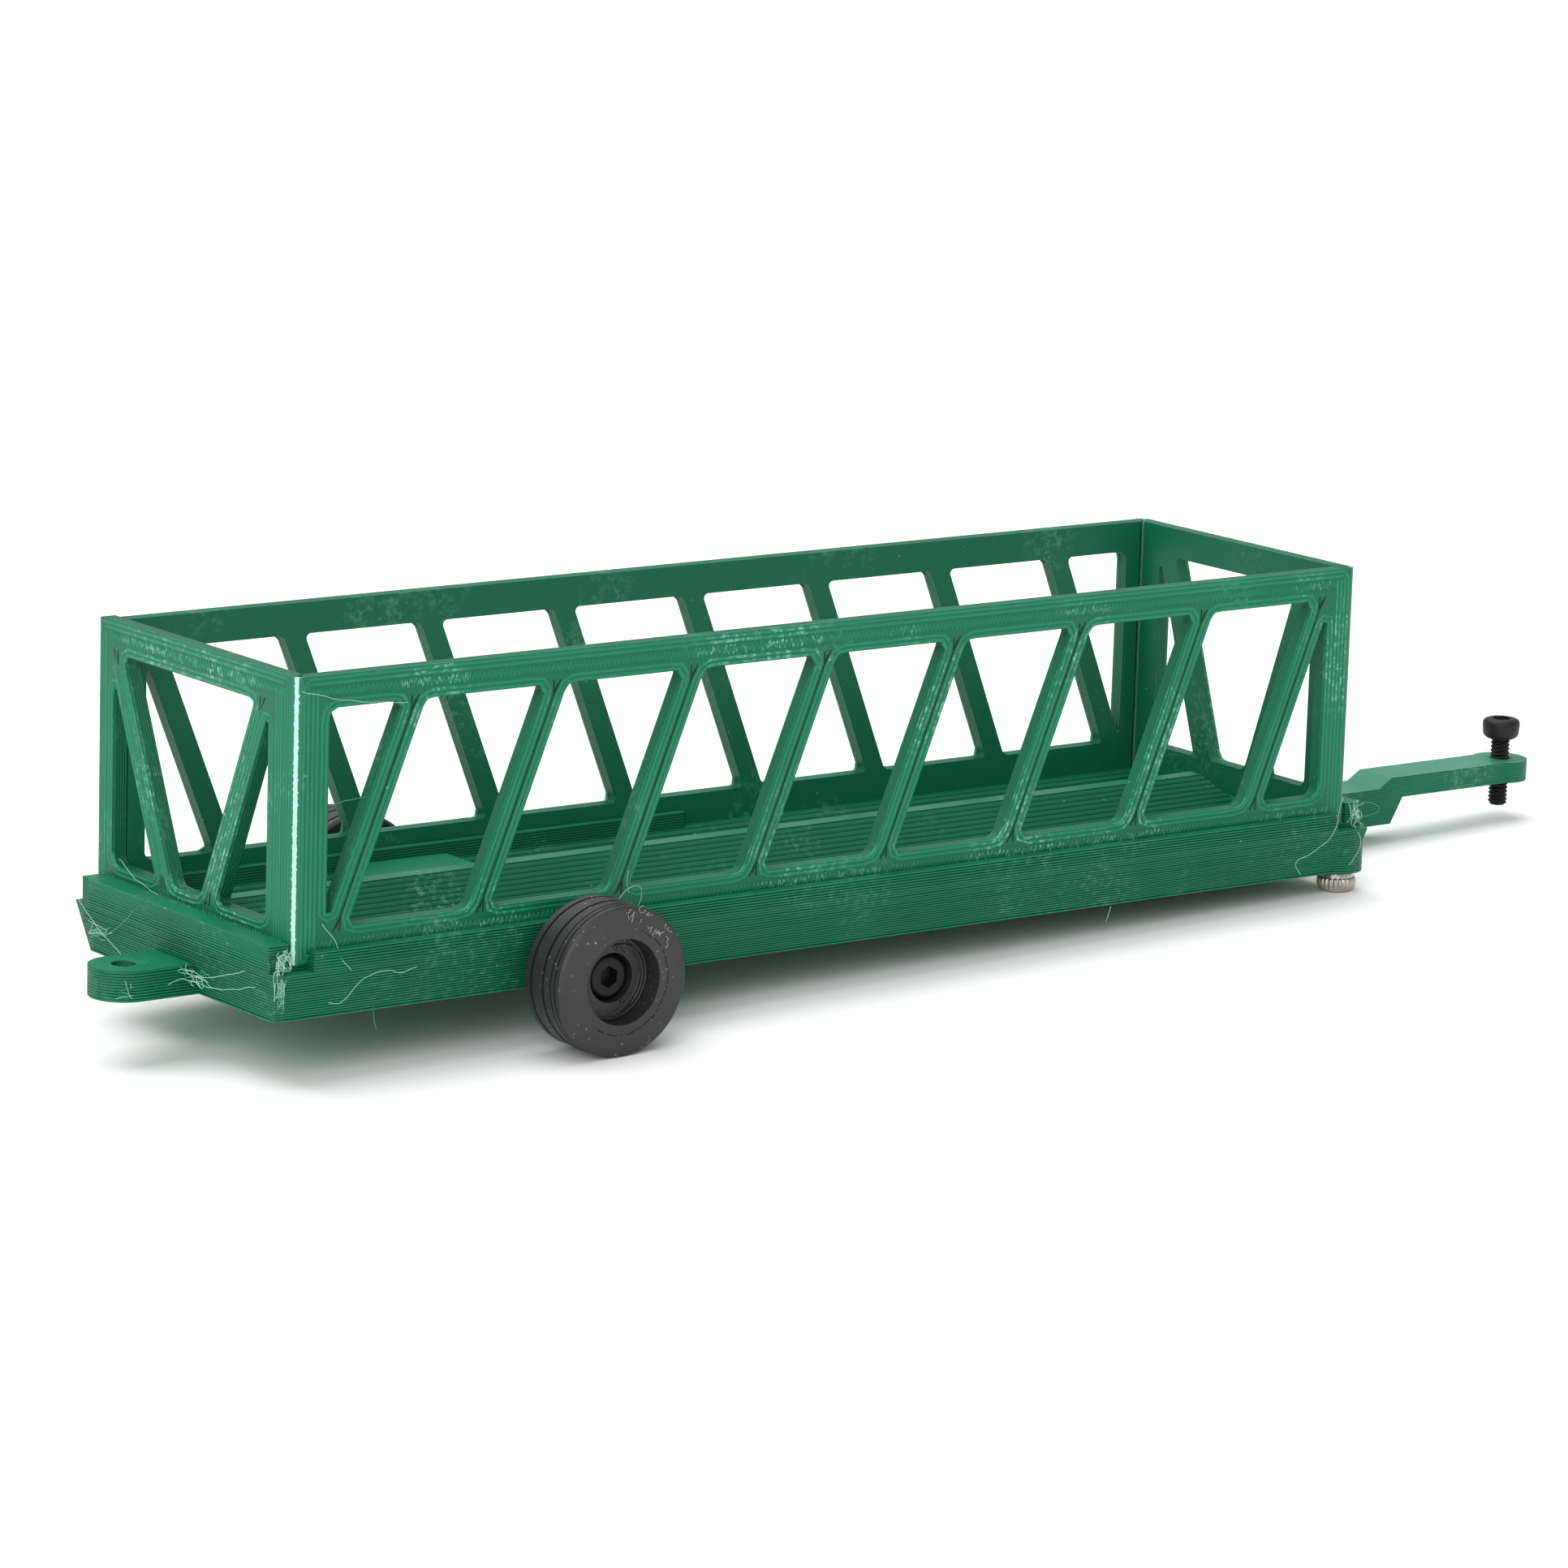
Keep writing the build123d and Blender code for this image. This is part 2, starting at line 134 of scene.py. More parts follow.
# joins colour, roughness and relief (a height in metres) to the surface
def finishSurface(tree, shader, tint, rough, height):
    bump = addNode(tree, "ShaderNodeBump", {"Strength": 1.0, "Distance": 1.0, "Height": height})
    feed(tree, shader.inputs["Base Color"], tint)
    feed(tree, shader.inputs["Roughness"], rough)
    feed(tree, shader.inputs["Normal"], bump.outputs[0])


# height 0 in the groove between two printed lines, 1 on their crown
def ridgeLines(tree, coordinate, spacing):
    turns = calc(tree, "FRACT", calc(tree, "DIVIDE", coordinate, spacing * mm))
    folded = calc(tree, "ABSOLUTE", calc(tree, "SUBTRACT", turns, 0.5))
    flat = calc(tree, "MULTIPLY", folded, 2.0)
    return calc(tree, "SUBTRACT", 1.0, calc(tree, "POWER", flat, 3.0))


# green printed plastic, layers stacked along one axis: satin ridges, with painted shade darkening the
# grooves between them
greenPrint = {
    "crown": "137d59",
    "deep": "0a6044",
    # groove: painted shade in the grooves between layers and lines
    "groove": "022a16",
    "scuffAndSheen": "8fd0ba",
    "roughness": 0.34,
    "specular": 0.22,
    "layerDepth": 0.07,
    "slopePitch": 0.42,
    "slopeShade": 0.7,
    "faceShade": 0.1,
    "toneSize": 90.0,
    "wobble": 0.05,
    "steepNormal": 0.2,
    "faceNormal": 0.8,
    "patchSize": 110.0,
    "patchFrom": 0.56,
    "grainDepth": 0.012,
    "grainRoughness": 0.16,
}
# pale scuffs, painted highlight patches and dust on the green plastic
scuffAndSheenLook = {
    "patchSpan": 0.16,
    "grainSize": 1500.0,
    "grainFrom": 0.5,
    "grainTo": 0.64,
    "speckSize": 380.0,
    "speckRadius": 0.045,
}


# pale patches, partly scuffs and partly painted highlight, and a few specks of dust
def scuffsAndSheen(tree, place, patchSize, patchFrom, amount):
    patchNoise = noiseFactor(tree, place, patchSize, 2.0)
    patch = addNode(tree, "ShaderNodeMapRange", {
        "Value": patchNoise,
        "From Min": patchFrom,
        "From Max": patchFrom + scuffAndSheenLook["patchSpan"],
    }).outputs[0]
    fineNoise = noiseFactor(tree, place, scuffAndSheenLook["grainSize"], 5.0, roughness=0.75)
    fine = addNode(tree, "ShaderNodeMapRange", {
        "Value": fineNoise,
        "From Min": scuffAndSheenLook["grainFrom"],
        "From Max": scuffAndSheenLook["grainTo"],
    }).outputs[0]
    specks = addNode(tree, "ShaderNodeTexVoronoi", {"Vector": place, "Scale": scuffAndSheenLook["speckSize"]})
    dot = calc(tree, "LESS_THAN", specks.outputs["Distance"], scuffAndSheenLook["speckRadius"])
    pale = calc(tree, "MAXIMUM", calc(tree, "MULTIPLY", patch, fine), dot)
    return calc(tree, "MULTIPLY", pale, amount), fineNoise


def greenMaterial(name, layerAxis, layerStart, faceTone, grooveShade, scuffAndSheenAmount):
    made, tree, shader = newMaterial(name)
    place = addNode(tree, "ShaderNodeTexCoord").outputs["Object"]
    normal = addNode(tree, "ShaderNodeNewGeometry").outputs["Normal"]
    axes = addNode(tree, "ShaderNodeSeparateXYZ", {0: place}).outputs
    facing = addNode(tree, "ShaderNodeSeparateXYZ", {0: normal}).outputs
    slowNoise = noiseFactor(tree, place, greenPrint["toneSize"], 3.0)
    centred = calc(tree, "SUBTRACT", slowNoise, 0.5)
    waver = calc(tree, "MULTIPLY", centred, greenPrint["wobble"] * mm)
    depth = calc(tree, "ABSOLUTE", axes[layerAxis]) if layerAxis == 1 else axes[layerAxis]
    along = calc(tree, "ADD", calc(tree, "SUBTRACT", depth, layerStart * mm), waver)
    crown = ridgeLines(tree, along, wagon["layer"])
    if layerAxis == 2:
        # on the troughs' slopes every second layer edge stands out as a line of painted shade
        steep = calc(tree, "LESS_THAN", facing[2], greenPrint["steepNormal"])
        edge = calc(tree, "SUBTRACT", 1.0, ridgeLines(tree, along, greenPrint["slopePitch"]))
        shade = calc(tree, "MULTIPLY", edge, greenPrint["slopeShade"])
        wide = calc(tree, "SUBTRACT", 1.0, shade)
        crown = calc(tree, "ADD", calc(tree, "MULTIPLY", crown, steep),
                     calc(tree, "MULTIPLY", wide, calc(tree, "SUBTRACT", 1.0, steep)))
    facingLayers = calc(tree, "ABSOLUTE", facing[layerAxis])
    onFace = calc(tree, "GREATER_THAN", facingLayers, greenPrint["faceNormal"])
    onSide = calc(tree, "SUBTRACT", 1.0, onFace)
    # printed lines run slantwise over the faces square to the layers, with a little painted shade in their
    # grooves
    first, second = [i for i in range(3) if i != layerAxis]
    slant = calc(tree, "MULTIPLY", calc(tree, "ADD", axes[first], axes[second]), diagonal)
    faceCrown = ridgeLines(tree, calc(tree, "ADD", slant, waver), wagon["lineWidth"])
    sideGroove = calc(tree, "MULTIPLY", calc(tree, "SUBTRACT", 1.0, crown), onSide)
    faceGroove = calc(tree, "MULTIPLY", calc(tree, "SUBTRACT", 1.0, faceCrown), onFace)
    pale, grain = scuffsAndSheen(tree, place, greenPrint["patchSize"], greenPrint["patchFrom"], scuffAndSheenAmount)
    faceShade = calc(tree, "MULTIPLY", faceGroove, greenPrint["faceShade"])
    relief = calc(tree, "ADD", sideGroove, faceShade)
    height = calc(tree, "SUBTRACT", calc(tree, "MULTIPLY", grain, greenPrint["grainDepth"] * mm),
                  calc(tree, "MULTIPLY", relief, greenPrint["layerDepth"] * mm))
    tone = mixColour(tree, slowNoise, colour(greenPrint["deep"]), colour(greenPrint["crown"]))
    tone = mixColour(tree, onFace, tone, colour(faceTone))
    # painted shade: the grooves between layers, and between the slanted lines, are darkened towards the
    # groove colour
    dark = calc(tree, "ADD", calc(tree, "MULTIPLY", sideGroove, grooveShade), faceShade)
    shaded = mixColour(tree, dark, tone, colour(greenPrint["groove"]))
    finish = mixColour(tree, pale, shaded, colour(greenPrint["scuffAndSheen"]))
    uneven = calc(tree, "MULTIPLY", grain, greenPrint["grainRoughness"])
    finishSurface(tree, shader, finish, calc(tree, "ADD", greenPrint["roughness"], uneven), height)
    shader.inputs["Specular IOR Level"].default_value = greenPrint["specular"]
    return made


# the face colour and the groove darkening are given per part; the grooves' darkening is painted shade, and
# the panels' dark face colour is partly their own green and partly painted shade in the gaps between the
# laid lines
trayGreen = greenMaterial("printedPlaTray", 2, 0.15, "127553", 0.95, 0.3)
sideGreen = greenMaterial("printedPlaSidePanel", 1, 0.1, "116a4b", 0.8, 0.25)
endGreen = greenMaterial("printedPlaEndPanel", 0, 0.2, "116a4b", 0.8, 0.25)
barGreen = greenMaterial("printedPlaDrawbar", 2, 0.15, "35856a", 0.12, 0.3)

# extruded lines laid on the faces: a rounder, brighter light, with pale patches on their crowns that are
# partly scuffs and partly painted highlight
extrudedLine = {
    "roughness": 0.3,
    "specular": 0.25,
    "patchSize": 75.0,
    "toneSize": 120.0,
    "grainDepth": 0.02,
    "grainRoughness": 0.2,
}


def lineMaterial(name, tone, deep, patchFrom, scuffAndSheenAmount):
    made, tree, shader = newMaterial(name)
    place = addNode(tree, "ShaderNodeTexCoord").outputs["Object"]
    slow = noiseFactor(tree, place, extrudedLine["toneSize"], 3.0)
    base = mixColour(tree, slow, colour(deep), colour(tone))
    pale, grain = scuffsAndSheen(tree, place, extrudedLine["patchSize"], patchFrom, scuffAndSheenAmount)
    finish = mixColour(tree, pale, base, colour(greenPrint["scuffAndSheen"]))
    uneven = calc(tree, "MULTIPLY", grain, extrudedLine["grainRoughness"])
    height = calc(tree, "MULTIPLY", grain, extrudedLine["grainDepth"] * mm)
    finishSurface(tree, shader, finish, calc(tree, "ADD", extrudedLine["roughness"], uneven), height)
    shader.inputs["Specular IOR Level"].default_value = extrudedLine["specular"]
    return made


# the panels' lines carry many pale patches: partly scuffs, partly painted highlights along their crowns
panelBead = lineMaterial("extrudedLinePanel", "1b8a66", "10704f", 0.5, 0.75)
infillBead = lineMaterial("extrudedLineInfill", "198563", "10704f", 0.47, 0.85)
trayBead = lineMaterial("extrudedLineTray", "167f5b", "0d6849", 0.56, 0.4)
# near-black beads laid in the bars' slits: painted shade
paintedSlitShade = lineMaterial("slitShadeGreen", "04331c", "022312", 0.9, 0.0)

# thin web, whitened along the fold
foldWeb = {
    "stress": "b4f7df",
    "green": "1f7350",
    "halfWidth": 0.2,
    "jag": 0.16,
    "jagMiddle": 0.35,
    "jagSize": 700.0,
    "jagStretch": 3.0,
    "jagDepth": 0.06,
    "roughness": 0.55,
    "scatter": 0.15,
    "scatterReach": 0.4,
}


def foldMaterial(name, cornerX, cornerY, signX, signY, whitening):
    made, tree, shader = newMaterial(name)
    place = addNode(tree, "ShaderNodeTexCoord").outputs["Object"]
    axes = addNode(tree, "ShaderNodeSeparateXYZ", {0: place}).outputs
    fromX = calc(tree, "MULTIPLY", calc(tree, "SUBTRACT", axes[0], cornerX * mm), signX)
    fromY = calc(tree, "MULTIPLY", calc(tree, "SUBTRACT", axes[1], cornerY * mm), signY)
    offFold = calc(tree, "ABSOLUTE", calc(tree, "SUBTRACT", fromX, fromY))
    stretch = addNode(tree, "ShaderNodeMapping", {
        "Vector": place, "Scale": (1.0, 1.0, foldWeb["jagStretch"])}).outputs[0]
    jag = noiseFactor(tree, stretch, foldWeb["jagSize"], 4.0, roughness=0.8)
    centred = calc(tree, "SUBTRACT", jag, foldWeb["jagMiddle"])
    ragged = calc(tree, "MULTIPLY", centred, 2 * foldWeb["jag"] * mm)
    inside = calc(tree, "LESS_THAN", offFold, calc(tree, "ADD", foldWeb["halfWidth"] * mm, ragged))
    white = calc(tree, "MULTIPLY", inside, whitening)
    finish = mixColour(tree, white, colour(foldWeb["green"]), colour(foldWeb["stress"]))
    height = calc(tree, "MULTIPLY", jag, foldWeb["jagDepth"] * mm)
    finishSurface(tree, shader, finish, foldWeb["roughness"], height)
    shader.inputs["Subsurface Weight"].default_value = foldWeb["scatter"]
    shader.inputs["Subsurface Scale"].default_value = foldWeb["scatterReach"] * mm
    return made


# dark grey printed wheels
wheelPrint = {
    "tone": "303132",
    "deep": "1b1b1c",
    "dust": "9a9a98",
    "roughness": 0.4,
    "faceNormal": 0.7,
    "toneSize": 260.0,
    "waver": 0.12,
    "layerWaver": 0.4,
    "grainSize": 3200.0,
    "grainDepth": 0.02,
    "grainRoughness": 0.15,
    "ringDepth": 0.006,
    "layerDepth": 0.018,
    "dustSize": 1500.0,
    "dustRadius": 0.16,
    "dustFrom": 0.45,
    "dustTo": 0.7,
}


def wheelMaterial(name, dusty):
    made, tree, shader = newMaterial(name)
    place = addNode(tree, "ShaderNodeTexCoord").outputs["Object"]
    axes = addNode(tree, "ShaderNodeSeparateXYZ", {0: place}).outputs
    normal = addNode(tree, "ShaderNodeNewGeometry").outputs["Normal"]
    facing = addNode(tree, "ShaderNodeSeparateXYZ", {0: normal}).outputs
    dx = calc(tree, "SUBTRACT", axes[0], wagon["axleX"] * mm)
    dz = calc(tree, "SUBTRACT", axes[2], wagon["axleZ"] * mm)
    squares = calc(tree, "ADD", calc(tree, "MULTIPLY", dx, dx), calc(tree, "MULTIPLY", dz, dz))
    radius = calc(tree, "SQRT", squares)
    onFace = calc(tree, "GREATER_THAN", calc(tree, "ABSOLUTE", facing[1]), wheelPrint["faceNormal"])
    slow = noiseFactor(tree, place, wheelPrint["toneSize"], 4.0)
    waver = calc(tree, "MULTIPLY", slow, wheelPrint["waver"] * mm)
    rings = ridgeLines(tree, calc(tree, "ADD", radius, waver), wagon["lineWidth"])
    drift = calc(tree, "MULTIPLY", waver, wheelPrint["layerWaver"])
    layers = ridgeLines(tree, calc(tree, "ADD", axes[1], drift), wagon["layer"])
    grain = noiseFactor(tree, place, wheelPrint["grainSize"], 4.0, roughness=0.7)
    faceRings = calc(tree, "MULTIPLY", rings, onFace)
    sideLayers = calc(tree, "MULTIPLY", layers, calc(tree, "SUBTRACT", 1.0, onFace))
    ringHeight = calc(tree, "MULTIPLY", faceRings, wheelPrint["ringDepth"] * mm)
    layerHeight = calc(tree, "MULTIPLY", sideLayers, wheelPrint["layerDepth"] * mm)
    grainHeight = calc(tree, "MULTIPLY", grain, wheelPrint["grainDepth"] * mm)
    height = calc(tree, "ADD", calc(tree, "ADD", ringHeight, layerHeight), grainHeight)
    tone = mixColour(tree, slow, colour(wheelPrint["deep"]), colour(wheelPrint["tone"]))
    specks = addNode(tree, "ShaderNodeTexVoronoi", {"Vector": place, "Scale": wheelPrint["dustSize"]})
    patch = addNode(tree, "ShaderNodeMapRange", {
        "Value": slow,
        "From Min": wheelPrint["dustFrom"],
        "From Max": wheelPrint["dustTo"],
    }).outputs[0]
    speck = calc(tree, "LESS_THAN", specks.outputs["Distance"], wheelPrint["dustRadius"])
    dot = calc(tree, "MULTIPLY", speck, calc(tree, "MULTIPLY", patch, dusty))
    finish = mixColour(tree, dot, tone, colour(wheelPrint["dust"]))
    uneven = calc(tree, "MULTIPLY", grain, wheelPrint["grainRoughness"])
    finishSurface(tree, shader, finish, calc(tree, "ADD", wheelPrint["roughness"], uneven), height)
    return made


tyreGrey = wheelMaterial("printedTyre", 0.8)
rimGrey = wheelMaterial("printedRim", 0.35)


# the same colour, darker
def shaded(tone, share):
    return [v * share for v in colour(tone)[:3]] + [1.0]


# screws: metal with a fine grain, darker in its hollows
metalLook = {"shade": 0.6, "grainRoughness": 0.2}


def metalMaterial(name, tone, metallic, roughness, grainScale, grainDepth):
    made, tree, shader = newMaterial(name)
    place = addNode(tree, "ShaderNodeTexCoord").outputs["Object"]
    grain = noiseFactor(tree, place, grainScale, 5.0)
    finish = mixColour(tree, grain, shaded(tone, metalLook["shade"]), colour(tone))
    uneven = calc(tree, "MULTIPLY", grain, metalLook["grainRoughness"])
    height = calc(tree, "MULTIPLY", grain, grainDepth * mm)
    finishSurface(tree, shader, finish, calc(tree, "ADD", roughness, uneven), height)
    shader.inputs["Metallic"].default_value = metallic
    return made


blackOxide = metalMaterial("blackOxideSteel", "2c2928", 0.6, 0.42, 1400.0, 0.01)
stainless = metalMaterial("stainlessSteel", "cfc8be", 1.0, 0.28, 900.0, 0.006)


# melted strings, the whitened fold and the open seam's painted shadow: one colour with a little grain
plainLook = {"shade": 0.7, "roughness": 0.4, "grainSize": 800.0}


def plainMaterial(name, tone, roughness=plainLook["roughness"], scale=plainLook["grainSize"]):
    made, tree, shader = newMaterial(name)
    place = addNode(tree, "ShaderNodeTexCoord").outputs["Object"]
    grain = noiseFactor(tree, place, scale, 3.0)
    finish = mixColour(tree, grain, shaded(tone, plainLook["shade"]), colour(tone))
    feed(tree, shader.inputs["Base Color"], finish)
    shader.inputs["Roughness"].default_value = roughness
    return made


hairPale = plainMaterial("meltedStringPale", "b4e3d2")
hairGreen = plainMaterial("meltedStringGreen", "4fae8a")
foldWhite = plainMaterial("stressWhitenedFold", "c4fbe8", roughness=0.35, scale=2500.0)
# near-black painted shadow laid in the open seam between tyre and rim
paintedSeamShadow = plainMaterial("openSeamShadow", "070707", roughness=0.9)
hairGrey = plainMaterial("meltedStringGrey", "a9a9a5")
print("materials made")

rear, front, half = wagon["rear"], wagon["front"], wagon["halfCage"]
for nodeName, material in {
    "base_tray": trayGreen,
    "side_panel_right": sideGreen,
    "side_panel_left": sideGreen,
    "end_panel_rear": endGreen,
    "end_panel_front": endGreen,
    "drawbar": barGreen,
    "tyre_right": tyreGrey,
    "tyre_left": tyreGrey,
    "wheel_rim_right": rimGrey,
    "wheel_rim_left": rimGrey,
    "axle_screw_right": blackOxide,
    "axle_screw_left": blackOxide,
    "hitch_pin": blackOxide,
    "foot_screw_right": stainless,
    "foot_screw_left": stainless,
    "fold_strip_rear_right": foldMaterial("foldWebRearRight", rear, -half, 1, 1, 1.0),
    "fold_strip_front_right": foldMaterial("foldWebFrontRight", front, -half, -1, 1, 0.25),
    "fold_strip_front_left": foldMaterial("foldWebFrontLeft", front, half, -1, -1, 0.6),
}.items():
    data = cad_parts[nodeName].data
    data.materials.clear()
    data.materials.append(material)


# one geometry tree lays a round bead along every path of a mesh
def beadTree():
    tree = bpy.data.node_groups.new("layBead", "GeometryNodeTree")
    face = tree.interface
    face.new_socket("Geometry", in_out="INPUT", socket_type="NodeSocketGeometry")
    for name, kind, value in (
        ("Bead Radius", "NodeSocketFloat", 0.2 * mm),
        ("Step", "NodeSocketFloat", 1.0 * mm),
        ("Wobble", "NodeSocketFloat", 0.02 * mm),
        ("Wobble Size", "NodeSocketFloat", 400.0),
        ("Sides", "NodeSocketInt", 6),
    ):
        made = face.new_socket(name, in_out="INPUT", socket_type=kind)
        made.default_value = value
    face.new_socket("Material", in_out="INPUT", socket_type="NodeSocketMaterial")
    face.new_socket("Geometry", in_out="OUTPUT", socket_type="NodeSocketGeometry")
    given = addNode(tree, "NodeGroupInput").outputs
    curve = addNode(tree, "GeometryNodeMeshToCurve", {"Mesh": given["Geometry"]}).outputs[0]
    resampled = addNode(tree, "GeometryNodeResampleCurve", {
        "Curve": curve, "Length": given["Step"]}, mode="LENGTH").outputs[0]
    here = addNode(tree, "GeometryNodeInputPosition").outputs[0]
    noise = addNode(tree, "ShaderNodeTexNoise", {
        "Vector": here, "Scale": given["Wobble Size"], "Detail": 2.0}).outputs["Color"]
    centred = addNode(tree, "ShaderNodeVectorMath", {
        0: noise, 1: (0.5, 0.5, 0.5)}, operation="SUBTRACT").outputs[0]
    shift = addNode(tree, "ShaderNodeVectorMath", {
        0: centred, "Scale": given["Wobble"]}, operation="SCALE").outputs[0]
    moved = addNode(tree, "GeometryNodeSetPosition", {
        "Geometry": resampled, "Offset": shift}).outputs[0]
    ring = addNode(tree, "GeometryNodeCurvePrimitiveCircle", {
        "Resolution": given["Sides"], "Radius": given["Bead Radius"]}).outputs[0]
    solid = addNode(tree, "GeometryNodeCurveToMesh", {
        "Curve": moved, "Profile Curve": ring, "Fill Caps": True}).outputs[0]
    smooth = addNode(tree, "GeometryNodeSetShadeSmooth", {0: solid}).outputs[0]
    real = addNode(tree, "GeometryNodeRealizeInstances", {0: smooth}).outputs[0]
    painted = addNode(tree, "GeometryNodeSetMaterial", {
        "Geometry": real, "Material": given["Material"]}).outputs[0]
    addNode(tree, "NodeGroupOutput", {0: painted})
    return tree


layBead = beadTree()


# runs a geometry tree on obj once and keeps the plain mesh it makes
def applyTree(tree, obj, settings):
    modifier = obj.modifiers.new("grow", "NODES")
    modifier.node_group = tree
    sockets = {s.name: s.identifier for s in tree.interface.items_tree if s.in_out == "INPUT"}
    for name, value in settings.items():
        modifier[sockets[name]] = value
    bpy.context.view_layer.update()
    evaluated = obj.evaluated_get(bpy.context.evaluated_depsgraph_get())
    grown = bpy.data.meshes.new_from_object(evaluated)
    obj.modifiers.remove(modifier)
    obj.data = grown


def addObject(name, points, edges=(), faces=()):
    data = bpy.data.meshes.new(name)
    data.from_pydata([tuple(c * mm for c in p) for p in points], edges, faces)
    obj = bpy.data.objects.new(name, data)
    bpy.context.scene.collection.objects.link(obj)
    return obj


# beads along open or closed paths; a path is (points, closed), in millimetres
def layPaths(name, paths, body, bead, material):
    points, edges = [], []
    for path, closed in paths:
        start = len(points)
        points += path
        edges += [(start + i, start + i + 1) for i in range(len(path) - 1)]
        if closed:
            edges.append((start + len(path) - 1, start))
    obj = addObject(name, points, edges)
    applyTree(layBead, obj, {
        "Bead Radius": bead["radius"] * mm,
        "Step": bead["step"] * mm,
        "Wobble": bead["wobble"] * mm,
        "Wobble Size": bead["wobbleSize"],
        "Sides": bead["sides"],
        "Material": material,
    })
    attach(obj, body)


# corner radii of the openings: the widest interior angle each one is for, in degrees
openingCorners = ((40, 0.2), (80, 0.45), (100, 0.9), (180, 1.1))


# flat loop round a convex outline (counterclockwise), offset outwards, with rounded corners
def cornerLoop(corners, fillet, offset, arcSteps=5):
    loop = []
    count = len(corners)
    for i in range(count):
        before, here, after = (Vector(corners[(i + k) % count]) for k in (-1, 0, 1))
        inEdge = (here - before).normalized()
        outEdge = (after - here).normalized()
        normalIn = Vector((inEdge.y, -inEdge.x))
        normalOut = Vector((outEdge.y, -outEdge.x))
        half = normalIn.angle(normalOut) / 2
        interior = 180 - 2 * math.degrees(half)
        radius = fillet or next(r for widest, r in openingCorners if interior <= widest)
        bisector = (normalIn + normalOut).normalized()
        centre = here - bisector * (radius / math.cos(half))
        for step in range(arcSteps + 1):
            way = normalIn.lerp(normalOut, step / arcSteps).normalized()
            loop.append(tuple(centre + way * (radius + offset)))
    return loop


def crossing(firstA, firstB, secondA, secondB):
    a, b, c, d = (Vector(v) for v in (firstA, firstB, secondA, secondB))
    r, s = b - a, d - c
    t = (c - a).cross(s) / r.cross(s)
    return tuple(a + r * t)


# perimeter and infill lines on the cage panels
panelLines = {
    "stand": 0.06,
    "offsets": (0.225, 0.675),
    "cornerFillet": 0.3,
    "pointWidth": 0.1,
    "postLinePitch": 0.44,
    "postLineInset": 1.1,
    "infillPitch": 0.24,
    "infillBand": 1.0,
    "infillInset": 1.2,
    "infillSlant": 0.1,
    "infillRise": 0.7,
    "forkReach": 0.05,
    "forkWidth": 0.35,
}
panelBeads = {
    "Lines": {"radius": 0.25, "step": 1.2, "sides": 8, "wobble": 0.05, "wobbleSize": 500.0},
    "Infill": {"radius": 0.14, "step": 0.35, "sides": 5, "wobble": 0.05, "wobbleSize": 500.0},
    "Slits": {"radius": 0.09, "step": 0.8, "sides": 5, "wobble": 0.05, "wobbleSize": 500.0},
}


# lines on a flat panel: edges and opening are (low, high) along it,
# and a bar is (foot, head, width)
def panelPaths(edges, opening, bars, midLine):
    paths = []
    inLow, inHigh = openingLow, openingHigh
    outline = [(edges[0], panelLow), (edges[1], panelLow),
               (edges[1], panelHigh), (edges[0], panelHigh)]
    for offset in panelLines["offsets"]:
        paths.append((cornerLoop(outline, panelLines["cornerFillet"], -offset), True))
    lines = [((opening[0], inLow), (opening[0], inHigh))]
    for foot, head, barWidth in sorted(bars):
        shift = barWidth / 2
        lines.append(((foot - shift, inLow), (head - shift, inHigh)))
        lines.append(((foot + shift, inLow), (head + shift, inHigh)))
    lines.append(((opening[1], inLow), (opening[1], inHigh)))
    topEdge = ((edges[0], inHigh), (edges[1], inHigh))
    lowEdge = ((edges[0], inLow), (edges[1], inLow))
    for index in range(0, len(lines), 2):
        left, right = lines[index], lines[index + 1]
        lowLeft, lowRight = crossing(*left, *lowEdge), crossing(*right, *lowEdge)
        highLeft, highRight = crossing(*left, *topEdge), crossing(*right, *topEdge)
        corners = [lowLeft, lowRight, highRight, highLeft]
        if lowRight[0] < lowLeft[0] + panelLines["pointWidth"]:
            corners = [crossing(*left, *right), highRight, highLeft]
        if highRight[0] < highLeft[0] + panelLines["pointWidth"]:
            corners = [lowLeft, lowRight, crossing(*left, *right)]
        for offset in panelLines["offsets"]:
            paths.append((cornerLoop(corners, 0, offset), True))
    if midLine:
        for foot, head, _ in bars:
            paths.append(([(foot, inLow), (head, inHigh)], False))
    inner, pitch, inset = panelLines["offsets"][1], panelLines["postLinePitch"], panelLines["postLineInset"]
    for side in (0, 1):
        inward = 1 - 2 * side
        room = abs(opening[side] - edges[side]) - 2 * inner - pitch / 2
        for k in range(int(room / pitch)):
            at = edges[side] + inward * (inner + pitch * (k + 1))
            paths.append(([(at, panelLow + inset), (at, panelHigh - inset)], False))
    return paths


# tight waves that fill the top and bottom rails between their outer lines
def infillPaths(edges):
    paths = []
    pitch, inset = panelLines["infillPitch"], panelLines["infillInset"]
    for middle in ((panelLow + openingLow) / 2, (panelHigh + openingHigh) / 2):
        wave = []
        for k in range(int((edges[1] - edges[0] - 2 * inset) / pitch)):
            at = edges[0] + inset + k * pitch
            lift = panelLines["infillBand"] / 2 * (1 if k % 2 else -1)
            wave.append((at - panelLines["infillSlant"], middle + lift * panelLines["infillRise"]))
            wave.append((at, middle + lift))
        paths.append((wave, False))
    return paths


